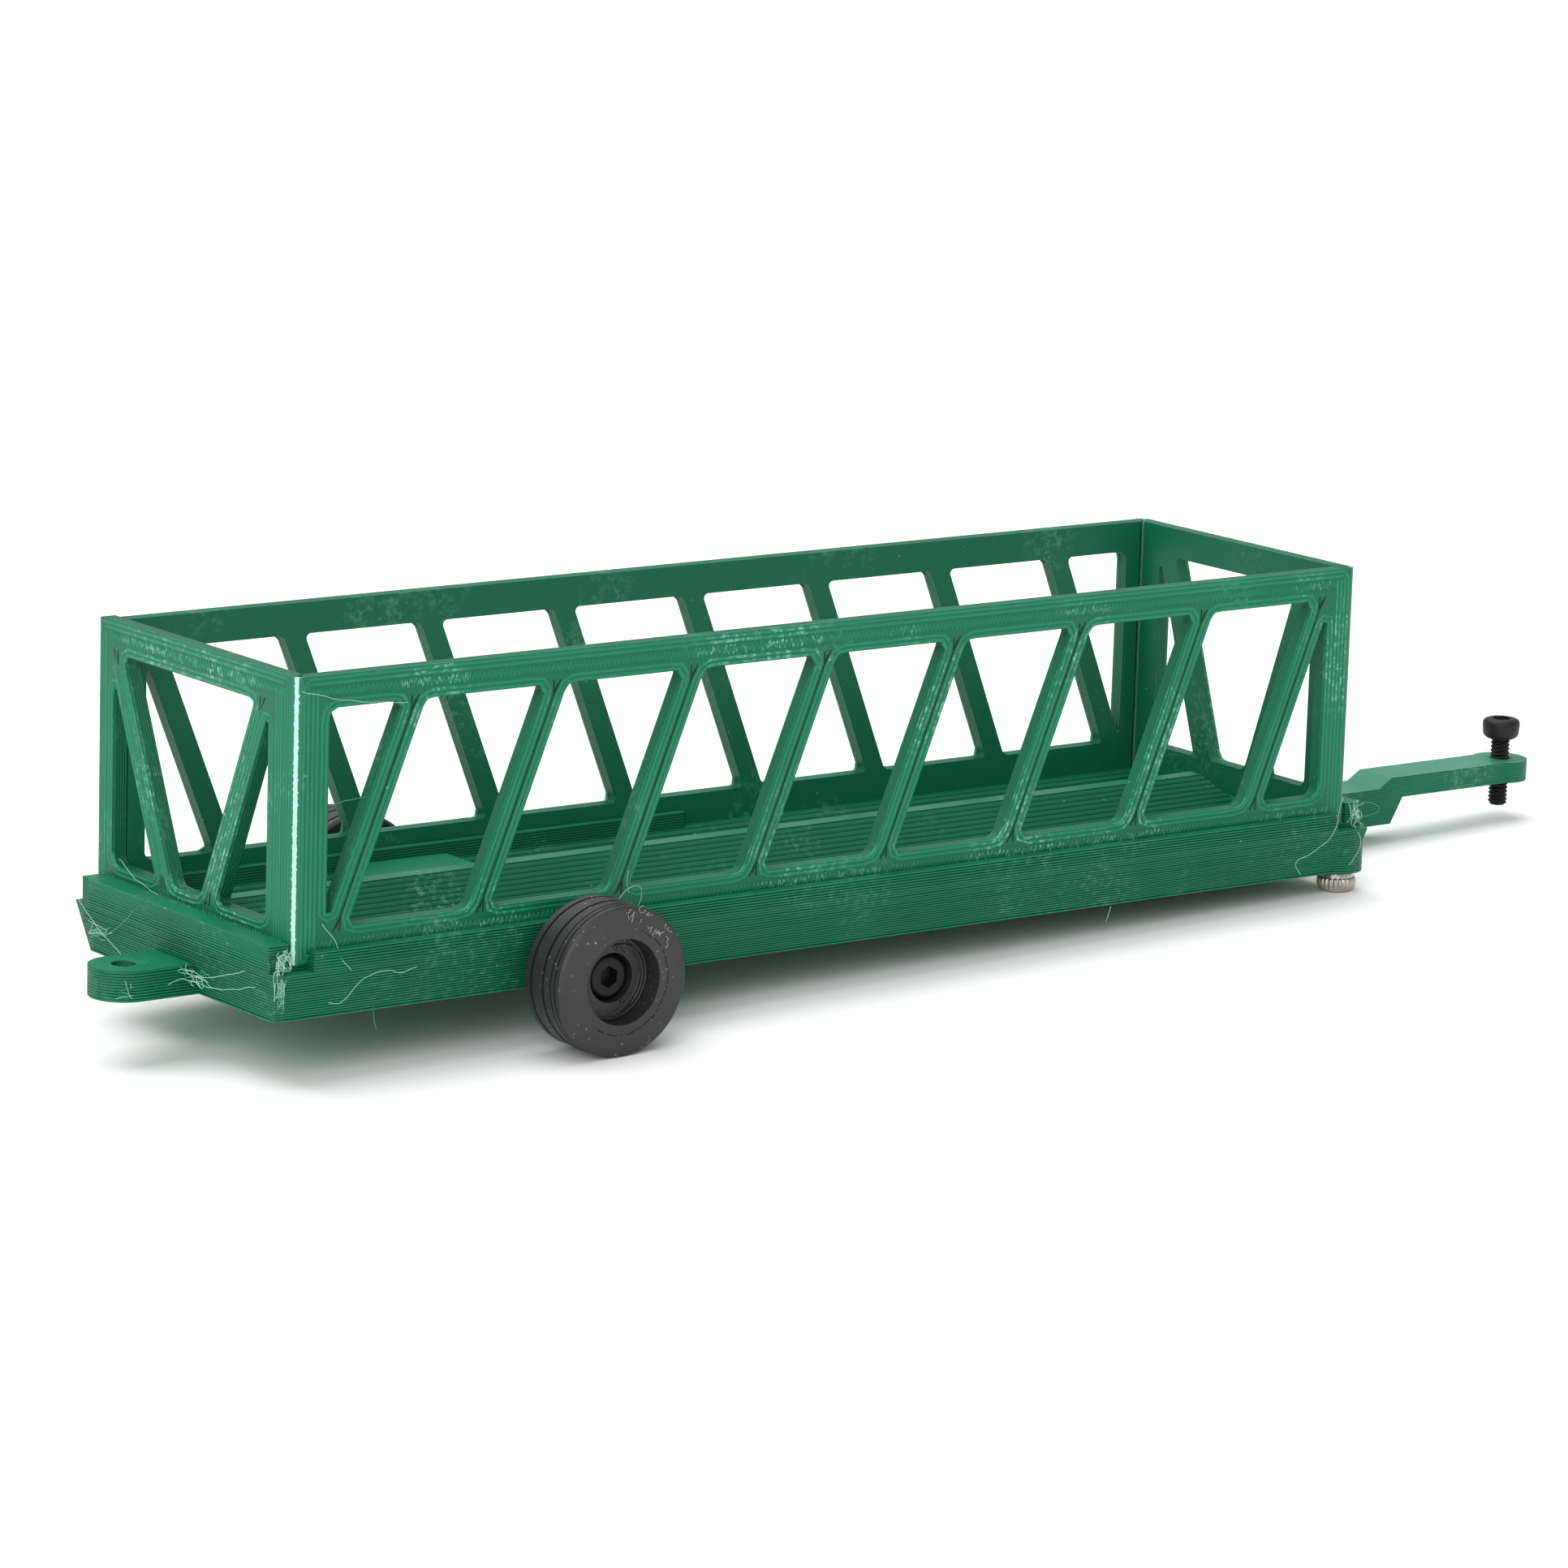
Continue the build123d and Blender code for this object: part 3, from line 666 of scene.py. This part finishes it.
# the unfilled slit along each bar's middle, forking where it meets the rails; it is drawn as a dark line of
# painted shade
def slitPaths(bars):
    paths = []
    width = panelLines["forkWidth"]
    for foot, head, _ in bars:
        start = Vector((foot, openingLow))
        lean = Vector((head - foot, openingHigh - openingLow))
        for at, way in ((0.0, -1), (1.0, 1)):
            root = start + lean * at
            inner = root - lean * panelLines["forkReach"] * way
            for side in (-1, 1):
                tip = root + Vector((side * width, way * width))
                paths.append(([tuple(inner), tuple(tip)], False))
        paths.append(([tuple(start), tuple(start + lean)], False))
    return paths


# flatToSpace turns a point of the flat panel and a bead's radius into a place
def layPanel(word, flatToSpace, edges, opening, bars, midLine):
    for kind, flat, material in (
        ("Lines", panelPaths(edges, opening, bars, midLine), panelBead),
        ("Infill", infillPaths(edges), infillBead),
        ("Slits", slitPaths(bars), paintedSlitShade),
    ):
        bead = panelBeads[kind]
        paths = [([flatToSpace(u, v, bead["radius"]) for u, v in path], closed)
                 for path, closed in flat]
        layPaths(f"panel{kind}_{word}", paths, "wagon", bead, material)


for side, word in ((-1, "right"), (1, "left")):
    bars = []
    for i in range(wagon["sideBarCount"]):
        at = middleX + side * (halfLength - wagon["sideBarInset"] - i * wagon["sideBarPitch"])
        foot = at + side * wagon["sideBarLean"] / 2
        bars.append((foot, foot - side * wagon["sideBarLean"], wagon["sideBarWidth"]))
    rearGap = wagon["stripRadius"] if side < 0 else wagon["freeCornerGap"]
    edges = (wagon["rear"] + rearGap, wagon["front"] - wagon["stripRadius"])
    opening = (wagon["rear"] + wagon["postWidth"], wagon["front"] - wagon["postWidth"])
    layPanel(word,
             lambda u, v, radius: (u, side * (half - radius + panelLines["stand"]), v),
             edges, opening, bars, False)
nearEdge = -wagon["halfCage"] + wagon["stripRadius"]
nearPost = -wagon["halfCage"] + wagon["endPostWidth"]
for word, faceX, outward, farEdge, farPost in (
    ("rear", rear, -1, wagon["rearFreeEnd"], wagon["rearFreeEnd"] - wagon["rearFreePost"]),
    ("front", front, 1, -nearEdge, -nearPost),
):
    spread = wagon[f"{word}Bars"]
    bars = [(spread["middle"] + way * spread["foot"],
             spread["middle"] + way * spread["head"],
             wagon["endBarWidth"]) for way in (-1, 1)]
    layPanel(word,
             lambda u, v, radius: (faceX + outward * (panelLines["stand"] - radius), u, v),
             (nearEdge, farEdge), (nearPost, farPost), bars, True)
print("panel lines laid")

# the near rear corner is whitened where its web was folded, with teeth at the layers
foldTeeth = {
    "depth": 0.12,
    "pitch": 0.28,
    "swing": 0.11,
    "leastSwing": 0.3,
    "start": 0.3,
    "seed": 3,
}
foldBead = {"radius": 0.16, "step": 0.1, "sides": 8, "wobble": 0.1, "wobbleSize": 2400.0}
foldSink = diagonal * (wagon["stripRadius"] - foldTeeth["depth"])
foldX = rear + wagon["stripRadius"] - foldSink
foldY = -half + wagon["stripRadius"] - foldSink
toothRng = random.Random(foldTeeth["seed"])
teeth = []
for k in range(int((panelHigh - panelLow - foldTeeth["start"]) / foldTeeth["pitch"])):
    way = 1 if k % 2 else -1
    swing = foldTeeth["swing"] * way * toothRng.uniform(foldTeeth["leastSwing"], 1.0)
    height = panelLow + foldTeeth["start"] + k * foldTeeth["pitch"]
    teeth.append((foldX + swing, foldY - swing, height))
layPaths("whitenedFold", [(teeth, False)], "wagon", foldBead, foldWhite)
print("fold laid")

# stacked layer lines on the tray's outside
trayBeads = {"radius": 0.086, "step": 1.6, "sides": 6, "wobble": 0.04, "wobbleSize": 300.0}
trayLayers = {
    "stand": 0.07,
    "cornerFillet": 0.35,
    "slip": 0.04,
    "firstSpread": 0.1,
    "flare": {"count": 18, "height": 4.5, "foot": (1.45, 15.45), "gain": (0.75, 1.45)},
    "sideWall": {"count": 7, "inner": 16.1, "outer": 16.9, "endInset": 1.6},
    "endWall": {"count": 10, "pitch": 0.24, "inner": 0.25, "outer": 2.2, "halfWidth": 15.7},
    "tab": {"count": 11, "radius": 3.15, "reach": 10.4, "root": 1.3, "arcSteps": 16},
    "tabRings": {"radii": (1.35, 1.8, 2.25, 2.7), "height": 2.69, "steps": 32},
    "boss": {"count": 18, "radius": 2.4, "slip": (-0.03, 0.02), "steps": 24},
    "seed": 11,
}


# rounded rectangle at one height
def rectangleLoop(lowX, highX, lowY, highY, z, inset):
    corners = [(lowX, lowY), (highX, lowY), (highX, highY), (lowX, highY)]
    return [(u, v, z) for u, v in cornerLoop(corners, trayLayers["cornerFillet"], -inset)]


# ring at one height
def levelRing(centreX, centreY, reach, z, steps):
    angles = [math.tau * t / steps for t in range(steps)]
    return [(centreX + reach * math.cos(a), centreY + reach * math.sin(a), z) for a in angles]


rng = random.Random(trayLayers["seed"])
trayPaths = []
inset = trayBeads["radius"] - trayLayers["stand"]
base, layer = wagon["base"], wagon["layer"]
wallFoot = base + trayLayers["flare"]["height"]


def nextSlip():
    return rng.uniform(-trayLayers["slip"], trayLayers["slip"])


flare = trayLayers["flare"]
for k in range(flare["count"]):
    rise = (k + 0.5) * layer
    share = rise / flare["height"]
    out = flare["foot"][0] + flare["gain"][0] * share
    halfWidth = flare["foot"][1] + flare["gain"][1] * share
    slip = nextSlip() - (trayLayers["firstSpread"] if k == 0 else 0)
    loop = rectangleLoop(rear - out, front + out, -halfWidth, halfWidth, base + rise, inset + slip)
    trayPaths.append((loop, True))
wall = trayLayers["sideWall"]
for k in range(wall["count"]):
    z = wallFoot + (k + 0.5) * layer
    slip = nextSlip()
    for side in (-1, 1):
        low, high = sorted((side * wall["inner"], side * wall["outer"]))
        loop = rectangleLoop(rear + wall["endInset"], front - wall["endInset"], low, high, z, inset + slip)
        trayPaths.append((loop, True))
wall = trayLayers["endWall"]
for k in range(wall["count"]):
    z = wallFoot + (k + 0.5) * wall["pitch"]
    slip = nextSlip()
    for low, high in ((rear - wall["outer"], rear - wall["inner"]),
                      (front + wall["inner"], front + wall["outer"])):
        loop = rectangleLoop(low, high, -wall["halfWidth"], wall["halfWidth"], z, inset + slip)
        trayPaths.append((loop, True))
tab = trayLayers["tab"]
tabX = rear - tab["reach"] + tab["radius"]
tabAngles = [math.pi * t / tab["arcSteps"] for t in range(tab["arcSteps"] + 1)]
for k in range(tab["count"]):
    z = base + (k + 0.5) * layer
    slip = nextSlip()
    reach = tab["radius"] - inset + slip
    loop = [(rear - tab["root"], -reach, z)]
    loop += [(tabX - reach * math.sin(a), -reach * math.cos(a), z) for a in tabAngles]
    loop.append((rear - tab["root"], reach, z))
    trayPaths.append((loop, False))
boss = trayLayers["boss"]
for k in range(boss["count"]):
    z = base + (k + 0.5) * layer
    reach = boss["radius"] - inset + rng.uniform(*boss["slip"])
    for side in (-1, 1):
        ring = levelRing(wagon["bossX"], side * wagon["bossY"], reach, z, boss["steps"])
        trayPaths.append((ring, True))
# rings round the tab's hole
rings = trayLayers["tabRings"]
for reach in rings["radii"]:
    trayPaths.append((levelRing(tabX, 0.0, reach, base + rings["height"], rings["steps"]), True))
layPaths("trayLayers", trayPaths, "wagon", trayBeads, trayBead)
print("tray layers laid")

# screws with their threads, knurls and sockets
# a profile's rows are (height, radius), from the piece's lower end, its seat or its top
screwCuts = {
    "pitch": 0.4,
    "core": 0.8,
    "crest": 1.0,
    "columns": 48,
    "rowStep": 0.08,
    "threadInset": (0.2, 0.1),
    "socketFlats": 1.75,
    "socketDepth": 1.1,
    "flutes": 24,
    "fluteColumns": 6,
    "fluteDepth": 0.16,
    "sharpAngle": 50,
    "pinLow": 0.26,
    "pinSeat": 7.2,
    "pinTop": 9.2,
    "pinPoint": ((0.0, 0.7), (0.12, 0.8)),
    "pinHeadFoot": ((0.0, 0.95), (0.0, 1.45), (0.2, 1.7), (0.45, 1.82)),
    "pinHeadTop": ((-0.6, 1.9), (-0.3, 1.86), (-0.12, 1.72), (0.0, 1.45)),
    "footHead": 2.1,
    "footRim": ((0.0, 1.25), (0.12, 1.5)),
    "footKnurl": ((0.35, 1.78), (0.7, 1.9), (1.25, 1.9), (1.4, 1.8)),
    "footNeck": 1.45,
    "footNeckRadius": 1.64,
    "footShank": ((-0.1, 1.66), (0.0, 1.55), (0.0, 1.0), (4.0, 1.0)),
}


def threadRadius(height):
    def radiusAt(angle):
        turn = (height / screwCuts["pitch"] - angle / math.tau) % 1
        share = 1 - abs(2 * turn - 1)
        return screwCuts["core"] + (screwCuts["crest"] - screwCuts["core"]) * share
    return radiusAt


def socketRadius(angle):
    fromFlat = (angle + math.pi / 6) % (math.pi / 3) - math.pi / 6
    return screwCuts["socketFlats"] / 2 / math.cos(fromFlat)


def fluted(outer):
    depth, flutes = screwCuts["fluteDepth"], screwCuts["flutes"]
    return lambda angle: outer - depth * (0.5 - 0.5 * math.cos(angle * flutes))


# rows of a profile, raised to a height
def profile(level, rows):
    return [(level + rise, radius) for rise, radius in rows]


# closed upright turned piece; a row's radius may change with the angle
def addTurned(name, rows, columns, centre, body, material, node):
    points, faces = [], []
    for height, radius in rows:
        for k in range(columns):
            angle = math.tau * k / columns
            reach = radius(angle) if callable(radius) else radius
            x = centre[0] + reach * math.cos(angle)
            points.append((x, centre[1] + reach * math.sin(angle), height))
    for r in range(len(rows) - 1):
        for k in range(columns):
            a, b = r * columns + k, r * columns + (k + 1) % columns
            faces.append((a, b, b + columns, a + columns))
    faces.append(tuple(reversed(range(columns))))
    faces.append(tuple(range(len(points) - columns, len(points))))
    obj = addObject(name, points, faces=faces)
    obj.data.polygons.foreach_set("use_smooth", [True] * len(faces))
    obj.data.set_sharp_from_angle(angle=math.radians(screwCuts["sharpAngle"]))
    obj.data.materials.append(material)
    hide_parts(node)
    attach(obj, body)


pinLow, pinSeat, pinTop = (base + screwCuts[k] for k in ("pinLow", "pinSeat", "pinTop"))
rows = profile(pinLow, screwCuts["pinPoint"])
threadStart, threadEnd = screwCuts["threadInset"]
height = pinLow + threadStart
while height < pinSeat - threadEnd:
    rows.append((height, threadRadius(height)))
    height += screwCuts["rowStep"]
rows += profile(pinSeat, screwCuts["pinHeadFoot"]) + profile(pinTop, screwCuts["pinHeadTop"])
rows += [(pinTop, socketRadius), (pinTop - screwCuts["socketDepth"], socketRadius)]
addTurned("threadedHitchPin", rows, screwCuts["columns"], (wagon["pinX"], 0),
          "pin", blackOxide, "hitch_pin")
footLow, footSeat = base - screwCuts["footHead"], base
rows = [(footLow + screwCuts["socketDepth"], socketRadius), (footLow, socketRadius)]
rows += profile(footLow, screwCuts["footRim"])
rows += [(height, fluted(radius)) for height, radius in profile(footLow, screwCuts["footKnurl"])]
rows.append((footLow + screwCuts["footNeck"], screwCuts["footNeckRadius"]))
rows += profile(footSeat, screwCuts["footShank"])
for side, word in ((-1, "right"), (1, "left")):
    addTurned(f"knurledFoot_{word}", rows, screwCuts["flutes"] * screwCuts["fluteColumns"],
              (wagon["bossX"], side * wagon["bossY"]),
              "wagon", stainless, f"foot_screw_{word}")
print("screws cut")

# ridges on the wheels' hub faces, and dashes of painted shadow in the broken seam between tyre and rim
ridgeBead = {"radius": 0.15, "step": 0.15, "sides": 8, "wobble": 0.03, "wobbleSize": 900.0}
seamBead = {"radius": 0.13, "step": 0.1, "sides": 6, "wobble": 0.03, "wobbleSize": 1200.0}
hubRidges = {
    "stand": 0.06,
    "floorDepth": 1.9,
    "from": 2.45,
    "to": 3.75,
    "sway": 0.34,
    "pairGap": 0.15,
    "steps": 12,
    "turns": (62, -62, 178),
    "arcs": ((3.35, -50, 50), (3.7, -150, 60), (2.95, -42, 6)),
    "arcSteps": 24,
}
openSeam = {
    "radius": 4.73,
    "stand": 0.03,
    "drift": 0.06,
    "span": (-125.0, 70.0),
    "dash": (2.0, 15.0),
    "gap": (1.0, 5.0),
    "dashSteps": 6,
    "seed": 5,
}


# a place round the axle
def roundAxle(reach, angle, y):
    return (wagon["axleX"] + reach * math.cos(angle), y, wagon["axleZ"] + reach * math.sin(angle))


for side, word in ((-1, "right"), (1, "left")):
    sunk = wagon["wheelFace"] - hubRidges["floorDepth"] - ridgeBead["radius"] / 2
    floorY = side * (sunk + hubRidges["stand"])
    paths = []
    for turn in hubRidges["turns"]:
        for way in (-0.5, 0.5):
            path = []
            for k in range(hubRidges["steps"] + 1):
                share = k / hubRidges["steps"]
                reach = hubRidges["from"] + (hubRidges["to"] - hubRidges["from"]) * share
                angle = math.radians(turn) + hubRidges["sway"] * math.sin(math.tau * share)
                path.append(roundAxle(reach, angle + way * hubRidges["pairGap"], floorY))
            paths.append((path, False))
    steps = hubRidges["arcSteps"]
    for reach, start, end in hubRidges["arcs"]:
        angles = [math.radians(start + (end - start) * k / steps) for k in range(steps + 1)]
        paths.append(([roundAxle(reach, a, floorY) for a in angles], False))
    layPaths(f"hubRidges_{word}", paths, f"wheel_{word}", ridgeBead, rimGrey)
    seamRng = random.Random(openSeam["seed"])
    faceY = side * (wagon["wheelFace"] - seamBead["radius"] + openSeam["stand"])
    steps = openSeam["dashSteps"]
    dashes, turn = [], openSeam["span"][0]
    while turn < openSeam["span"][1]:
        run = seamRng.uniform(*openSeam["dash"])
        reach = openSeam["radius"] + seamRng.uniform(-openSeam["drift"], openSeam["drift"])
        angles = [math.radians(turn + run * k / steps) for k in range(steps + 1)]
        dashes.append(([roundAxle(reach, a, faceY) for a in angles], False))
        turn += run + seamRng.uniform(*openSeam["gap"])
    layPaths(f"openSeam_{word}", dashes, f"wheel_{word}", seamBead, paintedSeamShadow)
print("wheel ridges laid")

# strings left by the nozzle: loose tangles and single hairs
stringBead = {"radius": 0.026, "step": 0.22, "sides": 5, "wobble": 0.4, "wobbleSize": 650.0}
tangles = (
    # middle, spread, strands, points in each
    ((-75.2, -16.6, 10.6), (0.9, 0.5, 1.2), 12, 7),
    ((-75.6, -16.9, 8.2), (0.6, 0.35, 2.2), 9, 6),
    ((-76.9, -5.6, 6.9), (1.0, 2.6, 0.8), 7, 4),
    ((-82.6, -3.0, 6.2), (1.4, 0.3, 1.1), 5, 4),
    ((-76.4, 12.5, 7.6), (0.3, 2.6, 0.7), 5, 4),
    ((47.2, -16.3, 10.8), (0.8, 0.5, 1.4), 9, 7),
)
hairs = (
    [(-76.4, -14.2, 8.0), (-76.9, -9.0, 6.6), (-77.6, -4.2, 6.9), (-78.6, -3.4, 6.2)],
    [(-76.3, -12.4, 9.0), (-76.9, -7.6, 7.4), (-77.4, -2.8, 7.0)],
    [(-76.5, 6.0, 10.6), (-76.3, 10.0, 7.6), (-76.2, 14.0, 6.6)],
    [(-76.5, 15.8, 9.8), (-76.6, 11.0, 7.4), (-76.5, 8.0, 6.2)],
    [(-73.4, -16.2, 33.9), (-70.2, -16.0, 33.0), (-66.5, -16.0, 32.3), (-62.5, -16.0, 31.9)],
    [(-70.3, -15.5, 23.5), (-67.6, -15.2, 23.8), (-64.8, -15.4, 23.9)],
    [(-71.0, -16.1, 13.4), (-69.8, -16.5, 11.9), (-69.6, -17.0, 10.2), (-68.6, -17.2, 9.2)],
    [(-70.8, -17.1, 6.6), (-69.4, -17.2, 6.3), (-67.6, -17.3, 8.4),
     (-65.2, -17.3, 8.9), (-63.6, -17.3, 8.3), (-62.0, -17.3, 8.8)],
    [(-65.2, -15.6, 5.2), (-65.1, -15.5, 4.0), (-64.9, -15.5, 3.1)],
    [(-42.4, -17.6, 11.6), (-41.4, -18.2, 12.4), (-40.4, -18.6, 13.8),
     (-39.0, -18.4, 13.6), (-38.7, -18.0, 12.0), (-39.4, -17.6, 11.2)],
    [(-38.6, -15.9, 12.4), (-39.0, -16.1, 13.4), (-38.6, -15.9, 14.4)],
    [(48.4, -13.4, 10.9), (50.2, -14.4, 11.3), (51.5, -15.2, 10.8),
     (51.0, -15.0, 9.9), (48.8, -13.8, 9.7), (48.0, -13.2, 10.1)],
    [(46.9, -16.7, 9.6), (48.0, -16.9, 8.0), (47.0, -16.6, 6.4), (46.3, -16.2, 5.0)],
    [(45.4, -16.4, 12.6), (44.6, -16.9, 11.4), (44.0, -17.2, 9.2),
     (41.2, -17.3, 7.8), (38.7, -17.2, 7.0), (39.9, -17.1, 5.7)],
    [(-22.0, -15.9, 10.9), (-21.2, -16.6, 11.5), (-20.2, -16.4, 10.9)],
    [(17.0, -16.2, 5.0), (16.8, -16.2, 4.1), (16.5, -16.0, 3.6)],
    [(3.4, -15.9, 29.4), (2.9, -16.1, 28.4), (4.0, -16.1, 27.6), (5.1, -15.9, 27.0)],
    [(-73.5, 14.6, 31.4), (-74.1, 13.4, 30.2), (-74.0, 12.6, 27.6)],
    [(-73.9, 12.9, 13.6), (-74.1, 9.0, 12.2), (-73.9, 5.2, 11.6)],
)
stringSeed = 23
stringRng = random.Random(stringSeed)


# a crooked strand of some points, each within the spread of the middle
def strand(middle, spread, count):
    return [tuple(m + stringRng.uniform(-1, 1) * w for m, w in zip(middle, spread)) for _ in range(count)]


paths = [(list(h), False) for h in hairs]
for middle, spread, strands, count in tangles:
    for _ in range(strands):
        paths.append((strand(middle, spread, count), False))


# cuts the corners of an open path a few times over, keeping its ends
def rounded(path, rounds=3):
    for _ in range(rounds):
        cut = [path[0]]
        for a, b in zip(path, path[1:]):
            cut.append(tuple(p * 0.75 + q * 0.25 for p, q in zip(a, b)))
            cut.append(tuple(p * 0.25 + q * 0.75 for p, q in zip(a, b)))
        path = cut + [path[-1]]
    return path


# every third string is green
for name, isGreen, material in (("stringsPale", False, hairPale), ("stringsGreen", True, hairGreen)):
    chosen = [(rounded(p), closed) for i, (p, closed) in enumerate(paths) if (i % 3 == 2) == isGreen]
    layPaths(name, chosen, "wagon", stringBead, material)

# short scraps on the right wheel's upper face
wheelScraps = {"count": 16, "points": 4, "turn": (62, 16), "reach": (5.2, 6.6), "stand": 0.02}
scrapSpread = (0.5, 0.04, 0.5)
scrapBead = {"radius": 0.03, "step": 0.2, "sides": 5, "wobble": 0.1, "wobbleSize": 900.0}
scraps = []
for _ in range(wheelScraps["count"]):
    turn = math.radians(stringRng.gauss(*wheelScraps["turn"]))
    reach = stringRng.uniform(*wheelScraps["reach"])
    middle = roundAxle(reach, turn, -wagon["wheelFace"] - wheelScraps["stand"])
    path = [tuple(m + stringRng.uniform(-w, w) for m, w in zip(middle, scrapSpread))
            for _ in range(wheelScraps["points"])]
    scraps.append((rounded(path), False))
layPaths("stringsWheel", scraps, "wheel_right", scrapBead, hairGrey)
print("strings laid")

# stage: pale floor through the wheels and the front feet
floorLook = {"reach": 3000, "footLift": 2.8, "tone": "f7f7f7", "roughness": 0.9, "specular": 0.1}
floorTurn = math.atan2(floorLook["footLift"], wagon["bossX"] - wagon["axleX"])
far = floorLook["reach"]
floorMesh = addObject("floor", [(-far, -far, 0), (far, -far, 0), (far, far, 0), (-far, far, 0)],
                      faces=[(0, 1, 2, 3)])
floorPlace = Matrix.Translation((wagon["axleX"] * mm, 0, 0))
floorMesh.matrix_world = floorPlace @ Matrix.Rotation(-floorTurn, 4, "Y")
floorWhite, _, floorShader = newMaterial("paperWhiteFloor")
floorShader.inputs["Base Color"].default_value = colour(floorLook["tone"])
floorShader.inputs["Roughness"].default_value = floorLook["roughness"]
floorShader.inputs["Specular IOR Level"].default_value = floorLook["specular"]
floorMesh.data.materials.append(floorWhite)

studio = {
    "sky": 0.62,
    "backdrop": 1.0,
    "sun": 2.2,
    "sunSoftness": 55.0,
    "fill": 1.1,
    "fillSoftness": 40.0,
}
world = bpy.data.worlds.new("studio")
bpy.context.scene.world = world
world.use_nodes = True
worldTree = world.node_tree
seen = addNode(worldTree, "ShaderNodeLightPath").outputs["Is Camera Ray"]
background = worldTree.nodes["Background"]
background.inputs["Color"].default_value = (1, 1, 1, 1)
lift = calc(worldTree, "MULTIPLY", seen, studio["backdrop"] - studio["sky"])
worldTree.links.new(calc(worldTree, "ADD", lift, studio["sky"]), background.inputs["Strength"])


def softLight(name, towards, softness, power):
    lamp = bpy.data.lights.new(name, "SUN")
    lamp.angle = math.radians(softness)
    lamp.energy = power
    obj = bpy.data.objects.new(name, lamp)
    bpy.context.scene.collection.objects.link(obj)
    obj.rotation_euler = Vector(towards).to_track_quat("-Z", "Y").to_euler()


softLight("topSoft", (0.1, -0.3, -1.0), studio["sunSoftness"], studio["sun"])
softLight("cameraSoft", (0.75, 0.55, -0.55), studio["fillSoftness"], studio["fill"])
bpy.context.scene.view_settings.view_transform = "Standard"

# camera at the wagon's right rear, slightly above it
view = {
    "place": (-357.2, -462.15, 138.0),
    "azimuth": -36.70,
    "elevation": 11.41,
    "roll": 1.734,
    "lens": 145.26,
    "sensor": 36.0,
    "shiftX": 0.0152,
    "shiftY": -0.0332,
    "nearest": 10,
}
azimuth, elevation, roll = (math.radians(view[k]) for k in ("azimuth", "elevation", "roll"))
back = Vector((math.sin(azimuth) * math.cos(elevation),
               -math.cos(azimuth) * math.cos(elevation),
               math.sin(elevation)))
levelRight = Vector((math.cos(azimuth), math.sin(azimuth), 0))
levelUp = back.cross(levelRight)
right = levelRight * math.cos(roll) + levelUp * math.sin(roll)
up = back.cross(right)
cameraData = bpy.data.cameras.new("camera")
cameraData.lens = view["lens"]
cameraData.sensor_width = view["sensor"]
cameraData.shift_x = view["shiftX"]
cameraData.shift_y = view["shiftY"]
cameraData.clip_start = view["nearest"] * mm
camera = bpy.data.objects.new("camera", cameraData)
bpy.context.scene.collection.objects.link(camera)
turn = Matrix((right, up, back)).transposed().to_4x4()
camera.matrix_world = Matrix.Translation(Vector(view["place"]) * mm) @ turn
bpy.context.scene.camera = camera
print("stage set")
